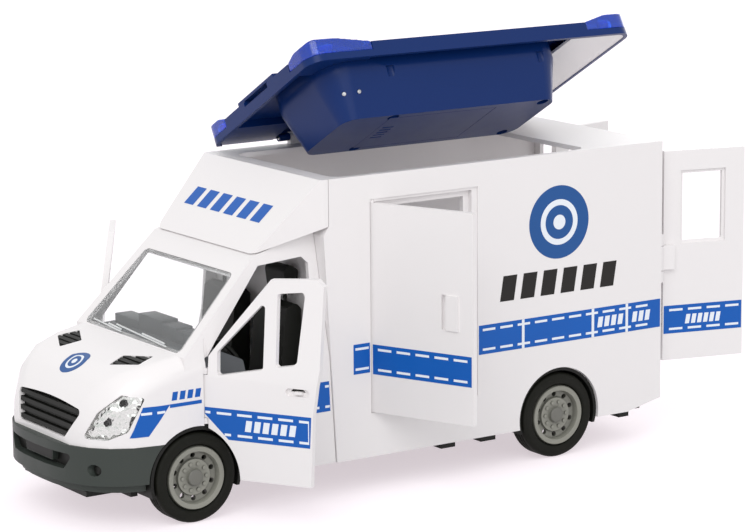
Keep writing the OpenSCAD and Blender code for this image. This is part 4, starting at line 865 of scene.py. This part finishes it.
class TOYVAN_OT_stage(bpy.types.Operator):
    """Pale floor, soft light and the camera"""

    bl_idname = "toyvan.stage"
    bl_label = "Stage"

    # Strength of the floor's own glow where it is seen, and its share beside the light that it scatters
    GLOW, GLOW_SHARE = 1.7, 0.36
    # Strength of the world as a light, and where it is seen
    SKY_LIGHT, SKY_SEEN = 0.85, 1.0
    # Name, place and size in metres, and power in watts of each lamp, and the point that they face
    LAMPS = (("key", (1.6, 1.6, 2.0), 1.6, 22.5), ("fill", (0.4, 2.4, 0.9), 1.8, 9),
             ("back", (-2.3, -1.3, 0.6), 1.8, 13))
    LIT = (0, 0, 0.08)
    # The camera's place and target in metres, its roll in degrees, and its lens and sensor in mm
    CAMERA, TARGET = (0.7687, 1.1902, 0.3574), (-0.02902, 0, 0.07925)
    ROLL, LENS, SENSOR = -0.44, 148.1, 36

    def watched(self, tree):
        """One where the camera looks, straight, by a reflection or through glass, and zero for other
        light."""
        path = add_node(tree, "ShaderNodeLightPath")
        straight = add_node(tree, "ShaderNodeMath", {
            0: path.outputs["Is Camera Ray"], 1: path.outputs["Is Transmission Ray"]}, operation="MAXIMUM")
        return add_node(tree, "ShaderNodeMath", {
            0: straight.outputs[0], 1: path.outputs["Is Glossy Ray"]}, operation="MAXIMUM").outputs[0]

    def execute(self, context):
        scene = context.scene
        floor_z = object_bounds()[0][2]
        bpy.ops.object.select_all(action="DESELECT")
        bpy.ops.mesh.primitive_plane_add(size=8, location=(0, 0, floor_z))
        floor = context.object
        floor.name = "floor"
        # White paper that shows pure white where no shadow falls on it
        material = bpy.data.materials.new("Matt white paper")
        material.use_nodes = True
        tree = material.node_tree
        tree.nodes.clear()
        seen = add_node(tree, "ShaderNodeMath", {0: self.watched(tree), 1: self.GLOW}, operation="MULTIPLY")
        paper = add_node(tree, "ShaderNodeBsdfDiffuse", {"Color": (*linear("#F4F3F5"), 1)})
        glow = add_node(tree, "ShaderNodeEmission", {
            "Color": (1, 0.9, 0.95, 1), "Strength": seen.outputs[0]})
        dim = add_node(tree, "ShaderNodeMixShader", {
            0: self.GLOW_SHARE, 1: paper.outputs["BSDF"], 2: glow.outputs["Emission"]})
        add_node(tree, "ShaderNodeOutputMaterial", {"Surface": dim.outputs["Shader"]})
        floor.data.materials.append(material)
        floor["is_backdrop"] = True

        # Even white light, and pure white where the camera looks past the floor
        world = bpy.data.worlds.new("Soft studio")
        scene.world = world
        world.use_nodes = True
        tree = world.node_tree
        bright = spread(tree, self.watched(tree), self.SKY_LIGHT, self.SKY_SEEN, 0.0, 1.0)
        tree.nodes["Background"].inputs["Color"].default_value = (1.0, 0.995, 1.0, 1)
        tree.links.new(bright, tree.nodes["Background"].inputs["Strength"])

        for name, place, size, power in self.LAMPS:
            bpy.ops.object.light_add(type="AREA", location=place)
            lamp = context.object
            lamp.name = name
            lamp.data.size = size
            lamp.data.energy = power
            lamp.rotation_euler = (Vector(self.LIT) - Vector(place)).to_track_quat("-Z", "Y").to_euler()

        bpy.ops.object.camera_add(location=self.CAMERA)
        camera = context.object
        look = (Vector(self.TARGET) - camera.location).to_track_quat("-Z", "Y").to_matrix()
        camera.rotation_euler = (look @ Matrix.Rotation(math.radians(self.ROLL), 3, "Z")).to_euler()
        camera.data.lens = self.LENS
        camera.data.sensor_width = self.SENSOR
        scene.camera = camera
        scene.view_settings.view_transform = "Standard"
        return {"FINISHED"}


class TOYVAN_PT_panel(bpy.types.Panel):
    """Lists the sizes, the colours and the steps of the van"""

    bl_label = "Toy van"
    bl_idname = "TOYVAN_PT_panel"
    bl_space_type = "VIEW_3D"
    bl_region_type = "UI"
    bl_category = "Toy van"

    def draw(self, context):
        for group in (context.scene.toy_van_sizes, context.scene.toy_van_colours):
            for key in group.__annotations__:
                self.layout.prop(group, key)
        for step in STEPS:
            self.layout.operator(step.bl_idname)


STEPS = (TOYVAN_OT_shells, TOYVAN_OT_doors, TOYVAN_OT_front, TOYVAN_OT_interior, TOYVAN_OT_lid,
         TOYVAN_OT_running_gear, TOYVAN_OT_stripes, TOYVAN_OT_badges, TOYVAN_OT_stage)
CLASSES = (ToyVanSizes, ToyVanColours, *STEPS, TOYVAN_PT_panel)


def register():
    for item in CLASSES:
        bpy.utils.register_class(item)
    bpy.types.Scene.toy_van_sizes = bpy.props.PointerProperty(type=ToyVanSizes)
    bpy.types.Scene.toy_van_colours = bpy.props.PointerProperty(type=ToyVanColours)


def unregister():
    del bpy.types.Scene.toy_van_colours
    del bpy.types.Scene.toy_van_sizes
    for item in reversed(CLASSES):
        bpy.utils.unregister_class(item)


def main():
    register()
    FINISH.update(make_materials(bpy.context.scene.toy_van_colours))
    bpy.ops.toyvan.shells()
    bpy.ops.toyvan.doors()
    bpy.ops.toyvan.front()
    bpy.ops.toyvan.interior()
    bpy.ops.toyvan.lid()
    bpy.ops.toyvan.running_gear()
    bpy.ops.toyvan.stripes()
    bpy.ops.toyvan.badges()
    bpy.ops.toyvan.stage()


if __name__ == "__main__":
    main()
